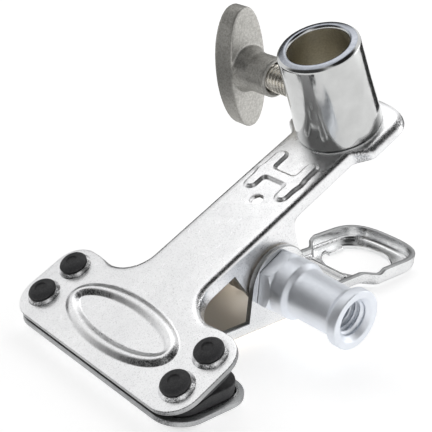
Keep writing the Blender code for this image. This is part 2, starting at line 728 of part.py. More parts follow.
def add_threaded_stud():
    """Side stud: hexagon, shoulder, waist, end flange and tapped hole."""
    aluminium = material("stud_aluminium", (0.72, 0.74, 0.79), 0.38, 1.0)
    hexagon = corner_radius(SPIGOT_FLATS)
    clear = BOLT_R + 0.0002
    profile = [(0.0, SPIGOT_HOLE_END), (SPIGOT_THREAD_R, SPIGOT_HOLE_END)]
    profile += [(SPIGOT_THREAD_R, SPIGOT_TIP - 0.0014), (SPIGOT_MOUTH_R, SPIGOT_TIP)]
    profile += [(SPIGOT_R - 0.0005, SPIGOT_TIP), (SPIGOT_R, SPIGOT_TIP - 0.0005)]
    profile += [(SPIGOT_R, SPIGOT_TIP - 0.0025), (SPIGOT_WAIST_R - 0.0002, SPIGOT_TIP - 0.0040)]
    profile += [(SPIGOT_WAIST_R, SPIGOT_WAIST), (SPIGOT_R, SPIGOT_WAIST - 0.0011)]
    profile += [(SPIGOT_R, SPIGOT_SHOULDER), (hexagon, SPIGOT_SHOULDER - 0.0008)]
    profile += [(hexagon, SPIGOT_ROOT), (clear, SPIGOT_ROOT)]
    profile += [(clear, BOLT_HOLE_END), (0.0, BOLT_HOLE_END)]
    stud = turned("threaded_stud", profile, 36)
    turn = (0.5 * math.pi, 0.0, 0.0)
    node = place("threaded_stud", stud, aluminium, pivot, rotation=turn)
    sides = flats("stud_flats", SPIGOT_FLATS, SPIGOT_ROOT - 0.0010, SPIGOT_SHOULDER + 0.0004)
    sides.transform(Matrix.Rotation(math.radians(30.0), 4, "Z"))
    boolean(node, cutter("stud_flats", sides, pivot, rotation=turn), "DIFFERENCE")


def add_socket():
    """Receiver socket, its tail spun over below the plate."""
    chrome = material("socket_chrome", (0.82, 0.82, 0.83), 0.08, 1.0)
    profile = [(SOCKET_TOP_R - 0.0007, SOCKET_TOP), (SOCKET_TOP_R + 0.0001, SOCKET_TOP - 0.0009)]
    profile += [(SOCKET_BASE_R, 0.0006), (SOCKET_BASE_R, REST_GAP), (SOCKET_TAIL_R, REST_GAP)]
    profile += [(SOCKET_TAIL_R, -SHEET - REST_GAP), (SOCKET_SPUN_R, -SHEET - REST_GAP)]
    profile += [(SOCKET_SPUN_R, SOCKET_END + 0.0001), (SOCKET_TAIL_R - 0.0002, SOCKET_END)]
    profile += [(SOCKET_BORE_R, SOCKET_END), (SOCKET_BORE_R, SOCKET_TOP - 0.0007)]
    profile += [(SOCKET_BORE_R + 0.0006, SOCKET_TOP), (SOCKET_TOP_R - 0.0007, SOCKET_TOP)]
    socket = turned("receiver_socket", profile, 44)
    node = place("receiver_socket", socket, chrome, plate, (SOCKET_U, 0.0, 0.0))
    port = rod("socket_port", SCREW_HOLE_R, 0.0040, 0.0160)
    boolean(node, cutter("socket_port", port, screw_axis, rotation=to_y), "DIFFERENCE")


def add_wing_screw():
    """Pressure tip, clamp screw and cast wing knob on the screw's axis."""
    nylon = material("tip_nylon", (0.80, 0.78, 0.72), 0.50, 0.0)
    nickel = material("screw_nickel", (0.66, 0.64, 0.58), 0.25, 1.0)
    cast_zinc = material("cast_knob", (0.50, 0.49, 0.46), 0.45, 1.0)
    profile = [(0.0, SCREW_END + 0.0023), (TIP_STEM_R, SCREW_END + 0.0023)]
    profile += [(TIP_STEM_R, SCREW_END - 0.0002), (TIP_R, SCREW_END - 0.0002)]
    profile += [(TIP_R, SCREW_END - 0.0014), (TIP_R - 0.0002, TIP_FACE), (0.0, TIP_FACE)]
    place("pressure_tip", turned("pressure_tip", profile, 24), nylon, screw_axis, rotation=to_y)

    clear = TIP_STEM_R + 0.0002
    profile = [(0.0, SCREW_TAIL), (SCREW_R - 0.0004, SCREW_TAIL), (SCREW_R, SCREW_TAIL - 0.0004)]
    profile += [(SCREW_R, SCREW_END + 0.0006), (SCREW_R - 0.0006, SCREW_END), (clear, SCREW_END)]
    profile += [(clear, SCREW_END + 0.0025), (0.0, SCREW_END + 0.0025)]
    place("clamp_screw", turned("clamp_screw", profile, 28), nickel, screw_axis, rotation=to_y)

    lean = (-0.5 * math.pi, math.radians(-90.0 + WING_TURN), 0.0)
    knob = place("wing_knob", wing_plate("wing_knob"), cast_zinc, screw_axis, rotation=lean)
    profile = [(0.0, 0.0350), (0.0064, 0.0350), (0.0066, WING_FACE - 0.0008)]
    profile += [(0.0059, WING_FACE - 0.0022), (0.0056, 0.0278), (BARREL_R, BARREL_END + 0.0004)]
    profile += [(BARREL_R - 0.0004, BARREL_END), (0.0, BARREL_END)]
    barrel = turned("knob_barrel", profile, 28)
    boolean(knob, cutter("knob_barrel", barrel, screw_axis, rotation=to_y), "UNION")
    profile = [(0.0, 0.0346), (SCREW_HOLE_R, 0.0346), (SCREW_HOLE_R, BARREL_END + 0.0014)]
    profile += [(0.0050, BARREL_END + 0.0006), (0.0050, BARREL_END - 0.0030)]
    profile += [(0.0, BARREL_END - 0.0030)]
    bore = turned("knob_bore", profile, 28)
    boolean(knob, cutter("knob_bore", bore, screw_axis, rotation=to_y), "DIFFERENCE")


def wing_plate(name):
    """Oval grip plate, long along X, flat towards the barrel and crowned behind."""
    bm = bmesh.new()
    rings = []
    lower = ((0.0008, 0.0, 0.0), (0.0, 0.0008, 0.0))
    upper = ((0.0, 0.0046, 1.0), (0.0016, 0.0062, 1.0))
    for inset, level, crowned in lower + upper:
        ring = []
        for j in range(40):
            angle = 2.0 * math.pi * j / 40
            x = (WING_LONG - inset) * math.copysign(abs(math.cos(angle)) ** 0.9, math.cos(angle))
            y = (WING_SHORT - inset) * math.copysign(abs(math.sin(angle)) ** 0.9, math.sin(angle))
            crown = crowned * WING_CROWN * (1.0 - (x / WING_LONG) ** 2)
            ring.append(bm.verts.new((x, y, WING_FACE + level + crown)))
        rings.append(ring)
    loft(bm, rings)
    return finish_mesh(name, bm)


add_upper_lever()
add_lower_lever()
add_pad("upper_pad", plate, (0.0, 0.0, -SHEET - REST_GAP), (0.0, 0.0, 0.0))
add_pad("lower_pad", stand, (0.0, 0.0, REST_GAP), (math.pi, 0.0, 0.0))
add_pivot()
add_threaded_stud()
add_socket()
add_wing_screw()
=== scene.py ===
"""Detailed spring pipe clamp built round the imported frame. Metres, +Z up."""

import json
from math import acos, atan2, ceil, copysign, cos, degrees, exp, hypot, pi, radians, sin, sqrt, tan

import bmesh
import bpy
import numpy as np
from mathutils import Matrix, Vector
from mathutils.geometry import delaunay_2d_cdt


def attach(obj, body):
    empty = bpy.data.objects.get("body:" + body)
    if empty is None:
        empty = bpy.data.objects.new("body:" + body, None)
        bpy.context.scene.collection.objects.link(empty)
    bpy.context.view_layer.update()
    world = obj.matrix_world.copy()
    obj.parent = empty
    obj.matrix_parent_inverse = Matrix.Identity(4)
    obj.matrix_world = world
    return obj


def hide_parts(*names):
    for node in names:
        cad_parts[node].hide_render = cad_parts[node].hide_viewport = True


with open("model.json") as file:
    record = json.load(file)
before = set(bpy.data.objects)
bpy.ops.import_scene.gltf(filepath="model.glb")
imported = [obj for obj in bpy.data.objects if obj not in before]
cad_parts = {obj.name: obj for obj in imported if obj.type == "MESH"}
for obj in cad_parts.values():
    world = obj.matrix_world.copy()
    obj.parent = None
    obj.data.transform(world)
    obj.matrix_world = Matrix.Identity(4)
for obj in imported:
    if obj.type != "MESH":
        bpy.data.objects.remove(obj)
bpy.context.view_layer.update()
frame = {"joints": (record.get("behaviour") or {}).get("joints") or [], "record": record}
scene = bpy.context.scene

# ---- dimensions
MM = 0.001
SHEET = 1.5 * MM
PIVOT_Z = 12.8 * MM  # pivot axis above the lower lever's inner face
PIVOT_TOP = 14.7 * MM  # upper lever's outer face above the pivot axis
EDGE = 0.28 * MM  # rounding of a cut sheet edge
CREASE = 38.0  # edges sharper than this many degrees stay sharp
THREAD_CREASE = 120.0

JAW_FRONT = -51.5 * MM
JAW_HALF = 33.5 * MM
JAW_BACK = -26.8 * MM
JAW_CORNER_FRONT = 8 * MM
JAW_CORNER_BACK = 7 * MM
FILLET = 8.5 * MM
LIP_START = 24 * MM

UPPER_NECK = 10.9 * MM
UPPER_FLANGE = 4.1 * MM
UPPER_FOLD = 1.6 * MM
HEAD_START = 34.5 * MM
HEAD_FULL = 39.5 * MM
HEAD_HALF = 15.8 * MM
HEAD_RIM = 3 * MM
HEAD_FOLD = 2.6 * MM
HEAD_ARC = 48 * MM
HEAD_END = 57.8 * MM
EAR_X = 0.9 * MM
EAR_FRONT = (-10.8 * MM, -8.8 * MM)
EAR_BACK = 10.2 * MM
SHOULDER = 5 * MM
EAR_R = 9.5 * MM
EAR_SWEEP = 0.62 * MM
EAR_HOLE_UPPER = 4.6 * MM

LOWER_NECK = 12.9 * MM
LOWER_WAIST = 10.9 * MM
LOWER_LIP = 4.6 * MM
WAIST_RIM = 4.3 * MM
LOWER_FOLD = 3 * MM
JAW_FOLD = 2 * MM
TAPER_START = 12.5 * MM
TAPER_END = 19 * MM
RING_START = 37 * MM
RING_FULL = 42 * MM
RING_HALF = 14.4 * MM
RING_RIM = 5.5 * MM
RIM_STEP = (40.8 * MM, 43.6 * MM)
RING_FOLD = 2.8 * MM
RING_ARC = 51 * MM
RING_END = 63.2 * MM
RING_BLUNT = 0.72
RING_HOLE_X = 47.4 * MM
RING_HOLE_R = 10.4 * MM
EAR_HOLE_LOWER = 3.3 * MM

STUD_U = (-43.9 * MM, -33.1 * MM)
STUD_V = 26.8 * MM
STUD_SPOTS = [(u, v) for u in STUD_U for v in (STUD_V, -STUD_V)]
STUD_HOLE_R = 2.5 * MM
COLLAR_BASE_R = 4.5 * MM
COLLAR_TOP_R = 3.7 * MM
COLLAR_HEIGHT = 0.9 * MM
COLLAR_RINGS = (3.0, 3.3, 3.5, 3.75, 4.0, 4.25, 4.5, 4.75, 5.0)  # mm
BEAD_U = -39.1 * MM
BEAD_HALF_U = 6.6 * MM
BEAD_HALF_V = 18.2 * MM
BEAD_WIDTH = 1.95 * MM
BEAD_HEIGHT = 1.05 * MM
BEAD_ROWS = 19
BEAD_STEPS = 180
CENTRE_HOLE_U = 9.9 * MM
CENTRE_HOLE_R = 1.9 * MM
RIB_V = 5.7 * MM
RIB_U = (14 * MM, 25.6 * MM)
RIB_CROSS_U = 19.1 * MM
RIB_HALF = 1.9 * MM
RIB_HEIGHT = 0.90 * MM
RIB_BLEND = 1.6 * MM  # softening where the ribs meet
STEP_X = 34.5 * MM
STEP_HALF = 6.4 * MM
STEP_HEIGHT = 1.25 * MM
STEP_REACH = 2 * MM
TAB_X = (44.4 * MM, 51 * MM)
TAB_Y = 8 * MM

PAD_THICK = 3 * MM
PAD_NOSE = 0.6 * MM
PAD_INSET = 1.9 * MM
PAD_CORNER = 6 * MM
REST_GAP = 0.15 * MM
STUD_HEAD_R = 3.8 * MM
STUD_HEAD_RISE = 2.6 * MM
STUD_SHAFT_R = 2.2 * MM

SLEEVE_R = 4.3 * MM
SLEEVE_HALF = 11.2 * MM
BOLT_R = 3 * MM
BOLT_CLEAR = 3.3 * MM
BOLT_FLATS = 10 * MM
BOLT_END = -24 * MM
BOLT_SEAT = 15.7 * MM
BOLT_TOP = 19.6 * MM
WASHER_R = 6.2 * MM
WASHER_SPAN = (13.05 * MM, 14.05 * MM)
LOCK_R = 5.4 * MM
LOCK_SPAN = (14.2 * MM, 15.5 * MM)
COIL_R = 6.4 * MM
COIL_HALF = 7.8 * MM
COIL_TURNS = 7
WIRE_R = 1 * MM

STUB_ROOT = 13.1 * MM
STUB_SHOULDER = 16.9 * MM
STUB_WAIST = 22.1 * MM
STUB_TIP = 39 * MM
STUB_R = 7.9 * MM
STUB_WAIST_R = 6.6 * MM
STUB_FLATS = 15.5 * MM
STUB_THREAD_R = 4.75 * MM
STUB_MOUTH_R = 5.9 * MM
STUB_HOLE_END = 26.2 * MM
BOLT_HOLE_END = 25 * MM
STUD_PITCH = 1.5875 * MM

SOCKET_U = 43.4 * MM
SOCKET_TOP = 26.5 * MM
SOCKET_TOP_R = 11.1 * MM
SOCKET_BASE_R = 12 * MM
SOCKET_BORE_R = 8.1 * MM
SOCKET_TAIL_R = 9.6 * MM
SOCKET_SPUN_R = 11 * MM
SOCKET_END = -2.7 * MM
SCREW_R = 4 * MM
SCREW_ROOT_R = 3.3 * MM
SCREW_PITCH = 1.25 * MM
SCREW_HOLE_R = 4.2 * MM
SCREW_END = 10.1 * MM
SCREW_TAIL = 33.4 * MM
TIP_R = 3.6 * MM
TIP_STEM_R = 1.3 * MM
TIP_FACE = 8.4 * MM
BARREL_END = 20.5 * MM
BARREL_R = 5.7 * MM
WING_FACE = 32.2 * MM
WING_LONG = 18.35 * MM
WING_SHORT = 6.7 * MM
WING_CROWN = 1.9 * MM
WING_LEAN = radians(16.3 - 90)  # from X, the long way
WING_LEVELS = (  # inset and level in mm, whether it is crowned
    (0.5, 0.0, 0),
    (0.15, 0.12, 0),
    (0.0, 0.45, 0),
    (0.0, 4.9, 1),
    (0.5, 5.7, 1),
    (1.8, 6.2, 1),
)

# ---- frames
joints = {row["name"]: row for row in frame["joints"]}
mounts = {row["name"]: row for row in frame["record"]["mounts"]}
PIVOT = Vector(joints["jaw_pivot"]["pos_m"])
SCREW = Vector(joints["wing_turn"]["pos_m"])
LOWER_UP = -Vector(mounts["lower_lever_underside"]["axis"])
UPPER_UP = Vector(mounts["socket_rim"]["axis"])


def lift(height):
    """Move along Z."""
    return Matrix.Translation((0.0, 0.0, height))


def lever_frame(normal, origin):
    """Frame whose Z is a lever's normal and whose X runs towards the handles."""
    across = Vector((0.0, 1.0, 0.0))
    along = across.cross(normal).normalized()
    axes = Matrix((along, across, normal)).transposed().to_4x4()
    return Matrix.Translation(origin) @ axes


TO_FAR = Matrix.Rotation(-0.5 * pi, 4, "X")  # turns a shape's Z to +Y
TO_NEAR = Matrix.Rotation(0.5 * pi, 4, "X")  # turns a shape's Z to -Y
UPPER = lever_frame(UPPER_UP, PIVOT + PIVOT_TOP * UPPER_UP)
LOWER = lever_frame(LOWER_UP, PIVOT - PIVOT_Z * LOWER_UP)
AXLE = lever_frame(LOWER_UP, PIVOT)
JAW_AXLE = lever_frame(UPPER_UP, PIVOT)
SCREW_OUT = lever_frame(UPPER_UP, SCREW) @ TO_FAR
SLOPE = acos(max(-1.0, min(1.0, LOWER_UP.dot(UPPER_UP))))


# ---- node tools
class Nodes:
    """Builds expressions in one node tree."""

    def __init__(self, tree):
        self.tree = tree

    def add(self, kind, *inputs):
        """New node; each input is a socket, a number or None to leave it alone."""
        node = self.tree.nodes.new("ShaderNode" + kind)
        for target, value in zip(node.inputs, inputs):
            if isinstance(value, bpy.types.NodeSocket):
                self.tree.links.new(value, target)
            elif value is not None:
                target.default_value = value
        return node

    def ramp(self, value, low, high, start=0.0, stop=1.0):
        """Maps a value's range low..high to start..stop, clamped."""
        return self.add("MapRange", value, low, high, start, stop).outputs["Result"]

    def maths(self, operation, *terms):
        """One sum on sockets and numbers."""
        node = self.add("Math", *terms)
        node.operation = operation
        return node.outputs["Value"]

    def facing(self, vector, direction):
        """Cosine between a vector socket and a fixed direction."""
        node = self.add("VectorMath", vector, Vector(direction).normalized())
        node.operation = "DOT_PRODUCT"
        return node.outputs["Value"]


class Shader(Nodes):
    """Small helper round one Principled material."""

    def __init__(self, name):
        self.mat = bpy.data.materials.new(name)
        self.mat.use_nodes = True
        super().__init__(self.mat.node_tree)
        self.main = self.tree.nodes["Principled BSDF"]
        frame_of = self.add("TexCoord").outputs
        self.where = frame_of["Object"]
        self.normal = frame_of["Normal"]

    def noise(self, size, detail=3.0, roughness=0.55, stretch=None):
        """Noise whose blotches are about size millimetres across."""
        place = self.add("Mapping", self.where, None, None, stretch)
        node = self.add("TexNoise", place.outputs["Vector"], None, 1.0 / (size * MM), detail, roughness)
        return node.outputs["Fac"]

    def mix(self, factor, first, second):
        """Blends two colours, each a tuple or a socket."""
        node = self.tree.nodes.new("ShaderNodeMix")
        node.data_type = "RGBA"
        for number, value in ((0, factor), (6, first), (7, second)):
            if isinstance(value, tuple):
                node.inputs[number].default_value = (*value, 1.0)
            else:
                self.tree.links.new(value, node.inputs[number])
        return node.outputs[2]

    def clouds(self, size, bright, dull, detail=3.0):
        """Two colours blended by noise."""
        return self.mix(self.ramp(self.noise(size, detail), 0.3, 0.7), bright, dull)

    def sheen(self, size, low, high, detail=3.0):
        """Roughness that wanders between two values."""
        return self.ramp(self.noise(size, detail), 0.3, 0.7, low, high)

    def bump(self, height, depth, previous=None):
        """Bump of a given real depth in millimetres."""
        return self.add("Bump", 1.0, depth * MM, None, height, previous).outputs["Normal"]

    def finish(self, colour, roughness, normal, metallic=1.0, specular=0.5):
        inputs = self.main.inputs
        for name, socket in (("Base Color", colour), ("Roughness", roughness), ("Normal", normal)):
            self.tree.links.new(socket, inputs[name])
        inputs["Metallic"].default_value = metallic
        inputs["Specular IOR Level"].default_value = specular
        return self.mat


def plated(name, bright, dull, gloss=(0.34, 0.48), channel=None):
    """Bright zinc plate: cloudy, with fine dark pits and an orange-peel skin.

    The folds on one side get a speckled painted dark reflection. channel is the
    stretch along the lever where the plate is warm and dull between the flanges,
    and brightened there as painted light against the shade inside.
    """
    s = Shader(name)
    place = s.add("SeparateXYZ", s.where).outputs
    off_centre = s.maths("ABSOLUTE", s.maths("ADD", place["Y"], -PIVOT.y))
    grain = s.noise(0.30, 2.0, 0.7)
    tone = s.mix(s.ramp(s.noise(9, 4.0), 0.35, 0.65), bright, dull)
    pits = s.ramp(s.ramp(grain, 0.54, 0.68), 0.0, 1.0, 0.0, PIT_SHARE)
    colour = s.mix(pits, tone, tuple(PIT_SHADE * c for c in dull))
    # painted dark reflection: folds facing one side turn near-black, speckled by noise
    side = s.facing(s.normal, DARK_FOLD_SIDE)
    fold = s.maths("MULTIPLY", s.ramp(side, 0.28, 0.46), s.ramp(side, 0.76, 0.90, 1.0, 0.0))
    fold = s.maths("MULTIPLY", fold, s.ramp(off_centre, *RIB_CLEAR))
    fold_reflection_speckle = s.ramp(s.noise(0.34, 2.0, 0.7), 0.44, 0.56, 0.15, 0.88)
    colour = s.mix(s.maths("MULTIPLY", fold, fold_reflection_speckle), colour, FOLD_REFLECTION_DARK)
    rough = s.sheen(1.6, *gloss, 4.0)
    # painted light: inside the channel the plate is made warmer and brighter, lifting the shade there
    if channel:
        start, stop = channel
        entered = s.ramp(place["X"], start - 2 * MM, start)
        share = s.ramp(place["X"], stop, stop + 8 * MM, 1.0, 0.0)
        within = s.ramp(off_centre, LOWER_NECK - 1.3 * MM, LOWER_NECK - 0.4 * MM, 1.0, 0.0)
        inward = s.maths("MULTIPLY", s.maths("MULTIPLY", entered, share), within)
        colour = s.mix(inward, colour, WARM_LIFTED_PLATE)
        rough = s.maths("ADD", rough, s.maths("MULTIPLY", inward, 0.34))
    skin = s.bump(s.noise(0.9), 0.012)
    return s.finish(colour, rough, s.bump(grain, 0.020, skin))


def chromed(name):
    """Polished chrome with a faint drawn waviness."""
    s = Shader(name)
    colour = s.clouds(5, (0.61, 0.615, 0.61), (0.54, 0.545, 0.54))
    rough = s.ramp(s.noise(1.1, 4.0), 0.3, 0.75, 0.09, 0.19)
    wave = s.bump(s.noise(3.5, 2.0, stretch=(1.0, 1.0, 0.35)), 0.035)
    return s.finish(colour, rough, s.bump(s.noise(0.35, 2.0), 0.003, wave))


def bored(name):
    """Unplated drilled wall inside the socket."""
    s = Shader(name)
    rings = s.noise(0.5)
    colour = s.mix(s.ramp(rings, 0.3, 0.7), (0.60, 0.565, 0.47), (0.48, 0.45, 0.37))
    return s.finish(colour, s.sheen(2, 0.38, 0.52), s.bump(rings, 0.01))


def anodised(name):
    """Satin, slightly blue aluminium with fine turning marks."""
    s = Shader(name)
    colour = s.clouds(6, (0.86, 0.89, 0.94), (0.80, 0.83, 0.88))
    turning = s.bump(s.noise(0.25, 2.0, stretch=(0.1, 2.5, 0.1)), 0.004)
    fine = s.bump(s.noise(0.3, 2.0), 0.004, turning)
    return s.finish(colour, s.sheen(1.0, 0.44, 0.56, 4.0), fine)


def cast(name):
    """Tumbled zinc casting, warm grey and mottled, with painted shade on its round sides."""
    s = Shader(name)
    blotch = s.noise(0.55, 5.0, 0.65)
    mottle = s.ramp(blotch, 0.35, 0.65)
    lit_face_tone = s.mix(mottle, (0.66, 0.65, 0.62), (0.46, 0.45, 0.425))
    shaded_side_tone = s.mix(mottle, (0.44, 0.43, 0.405), (0.27, 0.265, 0.245))
    # painted shade: faces turned along Y get the light tone, the round sides the dark one
    level = s.ramp(s.maths("ABSOLUTE", s.facing(s.normal, (0.0, 1.0, 0.0))), 0.45, 0.90)
    fine = s.bump(s.noise(0.3, 2.0), 0.012, s.bump(blotch, 0.03))
    return s.finish(s.mix(level, shaded_side_tone, lit_face_tone), s.sheen(0.8, 0.42, 0.60), fine)


def steel(name, bright, dull, gloss):
    """Plain plated or oiled steel."""
    s = Shader(name)
    colour = s.clouds(1.5, bright, dull, 4.0)
    return s.finish(colour, s.sheen(0.7, *gloss), s.bump(s.noise(0.4), 0.006))


def rubber(name):
    """Matt black moulded rubber with a dusty skin."""
    s = Shader(name)
    dust = s.noise(0.35, 3.0, 0.7)
    colour = s.mix(s.ramp(dust, 0.45, 0.8), (0.026, 0.026, 0.028), (0.060, 0.060, 0.062))
    return s.finish(colour, s.sheen(1.2, 0.50, 0.68), s.bump(dust, 0.012), 0.0, 0.45)


def nylon(name):
    """Off-white moulded nylon."""
    s = Shader(name)
    colour = s.clouds(1.5, (0.80, 0.78, 0.72), (0.72, 0.70, 0.64))
    return s.finish(colour, s.sheen(0.8, 0.42, 0.55), s.bump(s.noise(0.5), 0.006), 0.0)


DARK_FOLD_SIDE = (-0.30, -0.95, 0.0)  # the side whose folds get a painted dark reflection
# tone of the painted dark reflection on those folds
FOLD_REFLECTION_DARK = (0.085, 0.085, 0.09)
# warm plate tone inside the channel, brightened as painted light against its shade
WARM_LIFTED_PLATE = (0.98, 0.92, 0.83)
PIT_SHADE = 0.35  # a pit's tone against the dull plate
PIT_SHARE = 0.45  # how far a pit takes that tone
RIB_CLEAR = (7.6 * MM, 8.4 * MM)  # off the centre line, past the H rib
CHANNEL = (-29 * MM, 4 * MM)  # warm, dull stretch of the lower lever, brightened there as painted light against its shade
# darker cut edges: partly the raw edge's own tone, partly painted shade that draws dark outlines
CUT_EDGE_SHADED = plated("zinc_cut_edge_shaded", (0.50, 0.505, 0.51), (0.36, 0.365, 0.37))
FINISHES = {  # by material slot, main finish first
    "zinc_upper": [
        plated("zinc_plate_upper", (0.93, 0.932, 0.937), (0.88, 0.883, 0.89), (0.26, 0.36)), CUT_EDGE_SHADED],
    "zinc_lower": [
        plated("zinc_plate_lower", (0.88, 0.885, 0.89), (0.76, 0.765, 0.77), (0.12, 0.26), CHANNEL),
        CUT_EDGE_SHADED],
    "chrome": [chromed("socket_chrome"), bored("socket_bore"),
               steel("socket_top_face", (0.42, 0.44, 0.485), (0.33, 0.35, 0.39), (0.16, 0.26))],
    "aluminium": [anodised("stud_aluminium")],
    "cast_knob": [cast("cast_knob")],
    "nickel": [steel("screw_nickel", (0.74, 0.71, 0.65), (0.60, 0.57, 0.51), (0.16, 0.30))],
    "steel": [steel("bolt_steel", (0.70, 0.71, 0.73), (0.55, 0.56, 0.58), (0.25, 0.40))],
    "spring_steel": [steel("spring_steel", (0.62, 0.59, 0.54), (0.50, 0.475, 0.44), (0.34, 0.48))],
    "pad_rubber": [rubber("pad_rubber")],
    "nylon": [nylon("tip_nylon")],
}


# ---- mesh tools
def show(name, data):
    """New object in the scene."""
    node = bpy.data.objects.new(name, data)
    scene.collection.objects.link(node)
    return node


def mesh_of(name, bm):
    """Mesh from a bmesh, which is used up."""
    mesh = bpy.data.meshes.new(name)
    bm.to_mesh(mesh)
    bm.free()
    return mesh


def shade(mesh, smooth):
    """Smooth shading, sharp above an angle in degrees."""
    mesh.shade_smooth()
    mesh.set_sharp_from_angle(angle=radians(smooth))


def piece(part, kind, bm, matrix, body, slot, replaces=True, smooth=CREASE):
    """Shown piece of a part, riding on a body."""
    bmesh.ops.remove_doubles(bm, verts=bm.verts, dist=1e-7)
    bmesh.ops.dissolve_degenerate(bm, edges=bm.edges, dist=1e-8)
    bmesh.ops.recalc_face_normals(bm, faces=bm.faces)
    name = part + "_" + kind
    mesh = mesh_of(name, bm)
    mesh.transform(matrix)
    shade(mesh, smooth)
    for mat in FINISHES[slot]:
        mesh.materials.append(mat)
    node = show(name, mesh)
    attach(node, body)
    if replaces:
        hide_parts(part)
    return node


def bridge(bm, rings):
    """Joins each ring, or single point, to the next; gives the faces band by band."""
    bands = []
    for low, high in zip(rings, rings[1:]):
        band = []
        for j in range(max(len(low), len(high))):
            first, last = [(low[k % len(low)], high[k % len(high)]) for k in (j, j + 1)]
            corners = tuple(dict.fromkeys((first[0], last[0], last[1], first[1])))
            if len(corners) > 2:
                band.append(bm.faces.new(corners))
        bands.append(band)
    return bands


def triangulate(bm):
    """Splits the large caps."""
    bmesh.ops.triangulate(bm, faces=[face for face in bm.faces if len(face.verts) > 4])


def round_ring(bm, radii, height, turn=0.0):
    """Ring of vertices about Z, one for each radius."""
    angles = [turn + 2 * pi * j / len(radii) for j in range(len(radii))]
    return [bm.verts.new((r * cos(a), r * sin(a), height)) for r, a in zip(radii, angles)]


def rounded(profile, radius=0.25 * MM, steps=3):
    """Rounds the inner corners of an open profile."""
    points = [profile[0]]
    for behind, corner, ahead in zip(profile, profile[1:], profile[2:]):
        corner = Vector(corner)
        back = Vector(behind) - corner
        front = Vector(ahead) - corner
        reach = min(radius, 0.45 * back.length, 0.45 * front.length)
        first = corner + back.normalized() * reach
        last = corner + front.normalized() * reach
        for j in range(steps + 1):
            t = j / steps
            points.append(tuple(first * (1 - t) ** 2 + corner * 2 * t * (1 - t) + last * t ** 2))
    return points + [profile[-1]]


def lathe(profile, steps=96, tint=None):
    """Turned solid about Z; tint gives the material number at a radius and height."""
    bm = bmesh.new()
    rings = []
    for radius, height in profile:
        rings.append(round_ring(bm, [0.0] if radius < 1e-7 else [radius] * steps, height))
    for band, low, high in zip(bridge(bm, rings), profile, profile[1:]):
        number = tint(0.5 * (low[0] + high[0]), 0.5 * (low[1] + high[1])) if tint else 0
        for face in band:
            face.material_index = number
    return bm


def threaded(low, high, crest, root, pitch, wall=None, steps=80, per_turn=16):
    """Threaded rod, or a threaded liner whose other wall has radius wall."""
    bm = bmesh.new()
    count = int(round((high - low) / pitch * per_turn))
    rings = []
    for i in range(count + 1):
        height = low + (high - low) * i / count
        fade = min(1.0, (height - low) / (0.8 * pitch), (high - height) / (0.8 * pitch))
        radii = []
        for j in range(steps):
            turn = (height / pitch - j / steps) % 1.0
            tooth = 0.5 + 0.5 * cos(2 * pi * turn)
            radii.append(root + (crest - root) * tooth * max(fade, 0.0))
        rings.append(round_ring(bm, radii, height))
    if wall is None:
        bm.faces.new(rings[0])
        bm.faces.new(rings[-1][::-1])
    else:
        rings += [round_ring(bm, [wall] * steps, height) for height in (high, low)]
        rings.append(rings[0])
    bridge(bm, rings)
    return bm


def boolean(node, bm, matrix, operation="DIFFERENCE"):
    """Exact Boolean with a temporary shape, applied at once."""
    bmesh.ops.recalc_face_normals(bm, faces=bm.faces)
    mesh = mesh_of("helper", bm)
    mesh.transform(matrix)
    helper = show("helper", mesh)
    mod = node.modifiers.new("boolean", "BOOLEAN")
    mod.operation = operation
    mod.solver = "EXACT"
    mod.object = helper
    apply_modifiers(node)
    bpy.data.objects.remove(helper)


def evaluated(node):
    """Mesh of an object with its curve or modifiers worked out."""
    bpy.context.view_layer.update()
    graph = bpy.context.evaluated_depsgraph_get()
    return bpy.data.meshes.new_from_object(node.evaluated_get(graph))


def apply_modifiers(node):
    """Replaces a piece's mesh by its evaluated one."""
    mesh = evaluated(node)
    node.modifiers.clear()
    mesh.name = node.name
    node.data = mesh
    shade(mesh, CREASE)


def hexagon_ring(across_flats, low, high, turn=0.0, outer=6 * MM):
    """Ring with a hexagonal hole, for cutting flats on a round bar."""
    inner = 0.5 * across_flats / cos(pi / 6)
    corners = ((inner + outer, high), (inner + outer, low), (inner, low), (inner, high))
    bm = bmesh.new()
    rings = [round_ring(bm, [radius] * 6, height, turn) for radius, height in corners]
    bridge(bm, rings + rings[:1])
    return bm


def arc(cx, cy, radius, start, stop, steps):
    """Points on an arc, angles in degrees, both ends included."""
    angles = [radians(start + (stop - start) * j / steps) for j in range(steps + 1)]
    return [(cx + radius * cos(a), cy + radius * sin(a)) for a in angles]


def mirrored(half):
    """Closes a half outline that starts and ends at y = 0."""
    return half + [(x, -y) for x, y in reversed(half[1:-1])]


def ease(value, low, high):
    """Smooth step from 0 to 1 between two limits."""
    t = min(max((value - low) / (high - low), 0.0), 1.0)
    return t * t * (3.0 - 2.0 * t)


def divided(points, spacing):
    """Polyline whose steps are no longer than spacing."""
    result = [points[0]]
    for (ax, ay), (bx, by) in zip(points, points[1:]):
        count = max(1, int(ceil(hypot(bx - ax, by - ay) / spacing)))
        for j in range(1, count + 1):
            result.append((ax + (bx - ax) * j / count, ay + (by - ay) * j / count))
    return result


# ---- pressed sheet
CUT_BANDS = range(7, 12)  # bands of a flange section on the cut edge
FLAT_CUT_BANDS = range(3, 13)  # the same where the edge isn't turned over
FINE_GRID = 0.21 * MM
PLAIN_GRID = 1.1 * MM


def inside(points, polygon):
    """Even-odd test of many points against one polygon."""
    x, y = points[:, 0], points[:, 1]
    result = np.zeros(len(points), bool)
    for (ax, ay), (bx, by) in zip(polygon, np.roll(polygon, -1, axis=0)):
        if ay == by:
            continue
        crosses = (ay > y) != (by > y)
        result ^= crosses & (x < (bx - ax) * (y - ay) / (by - ay) + ax)
    return result


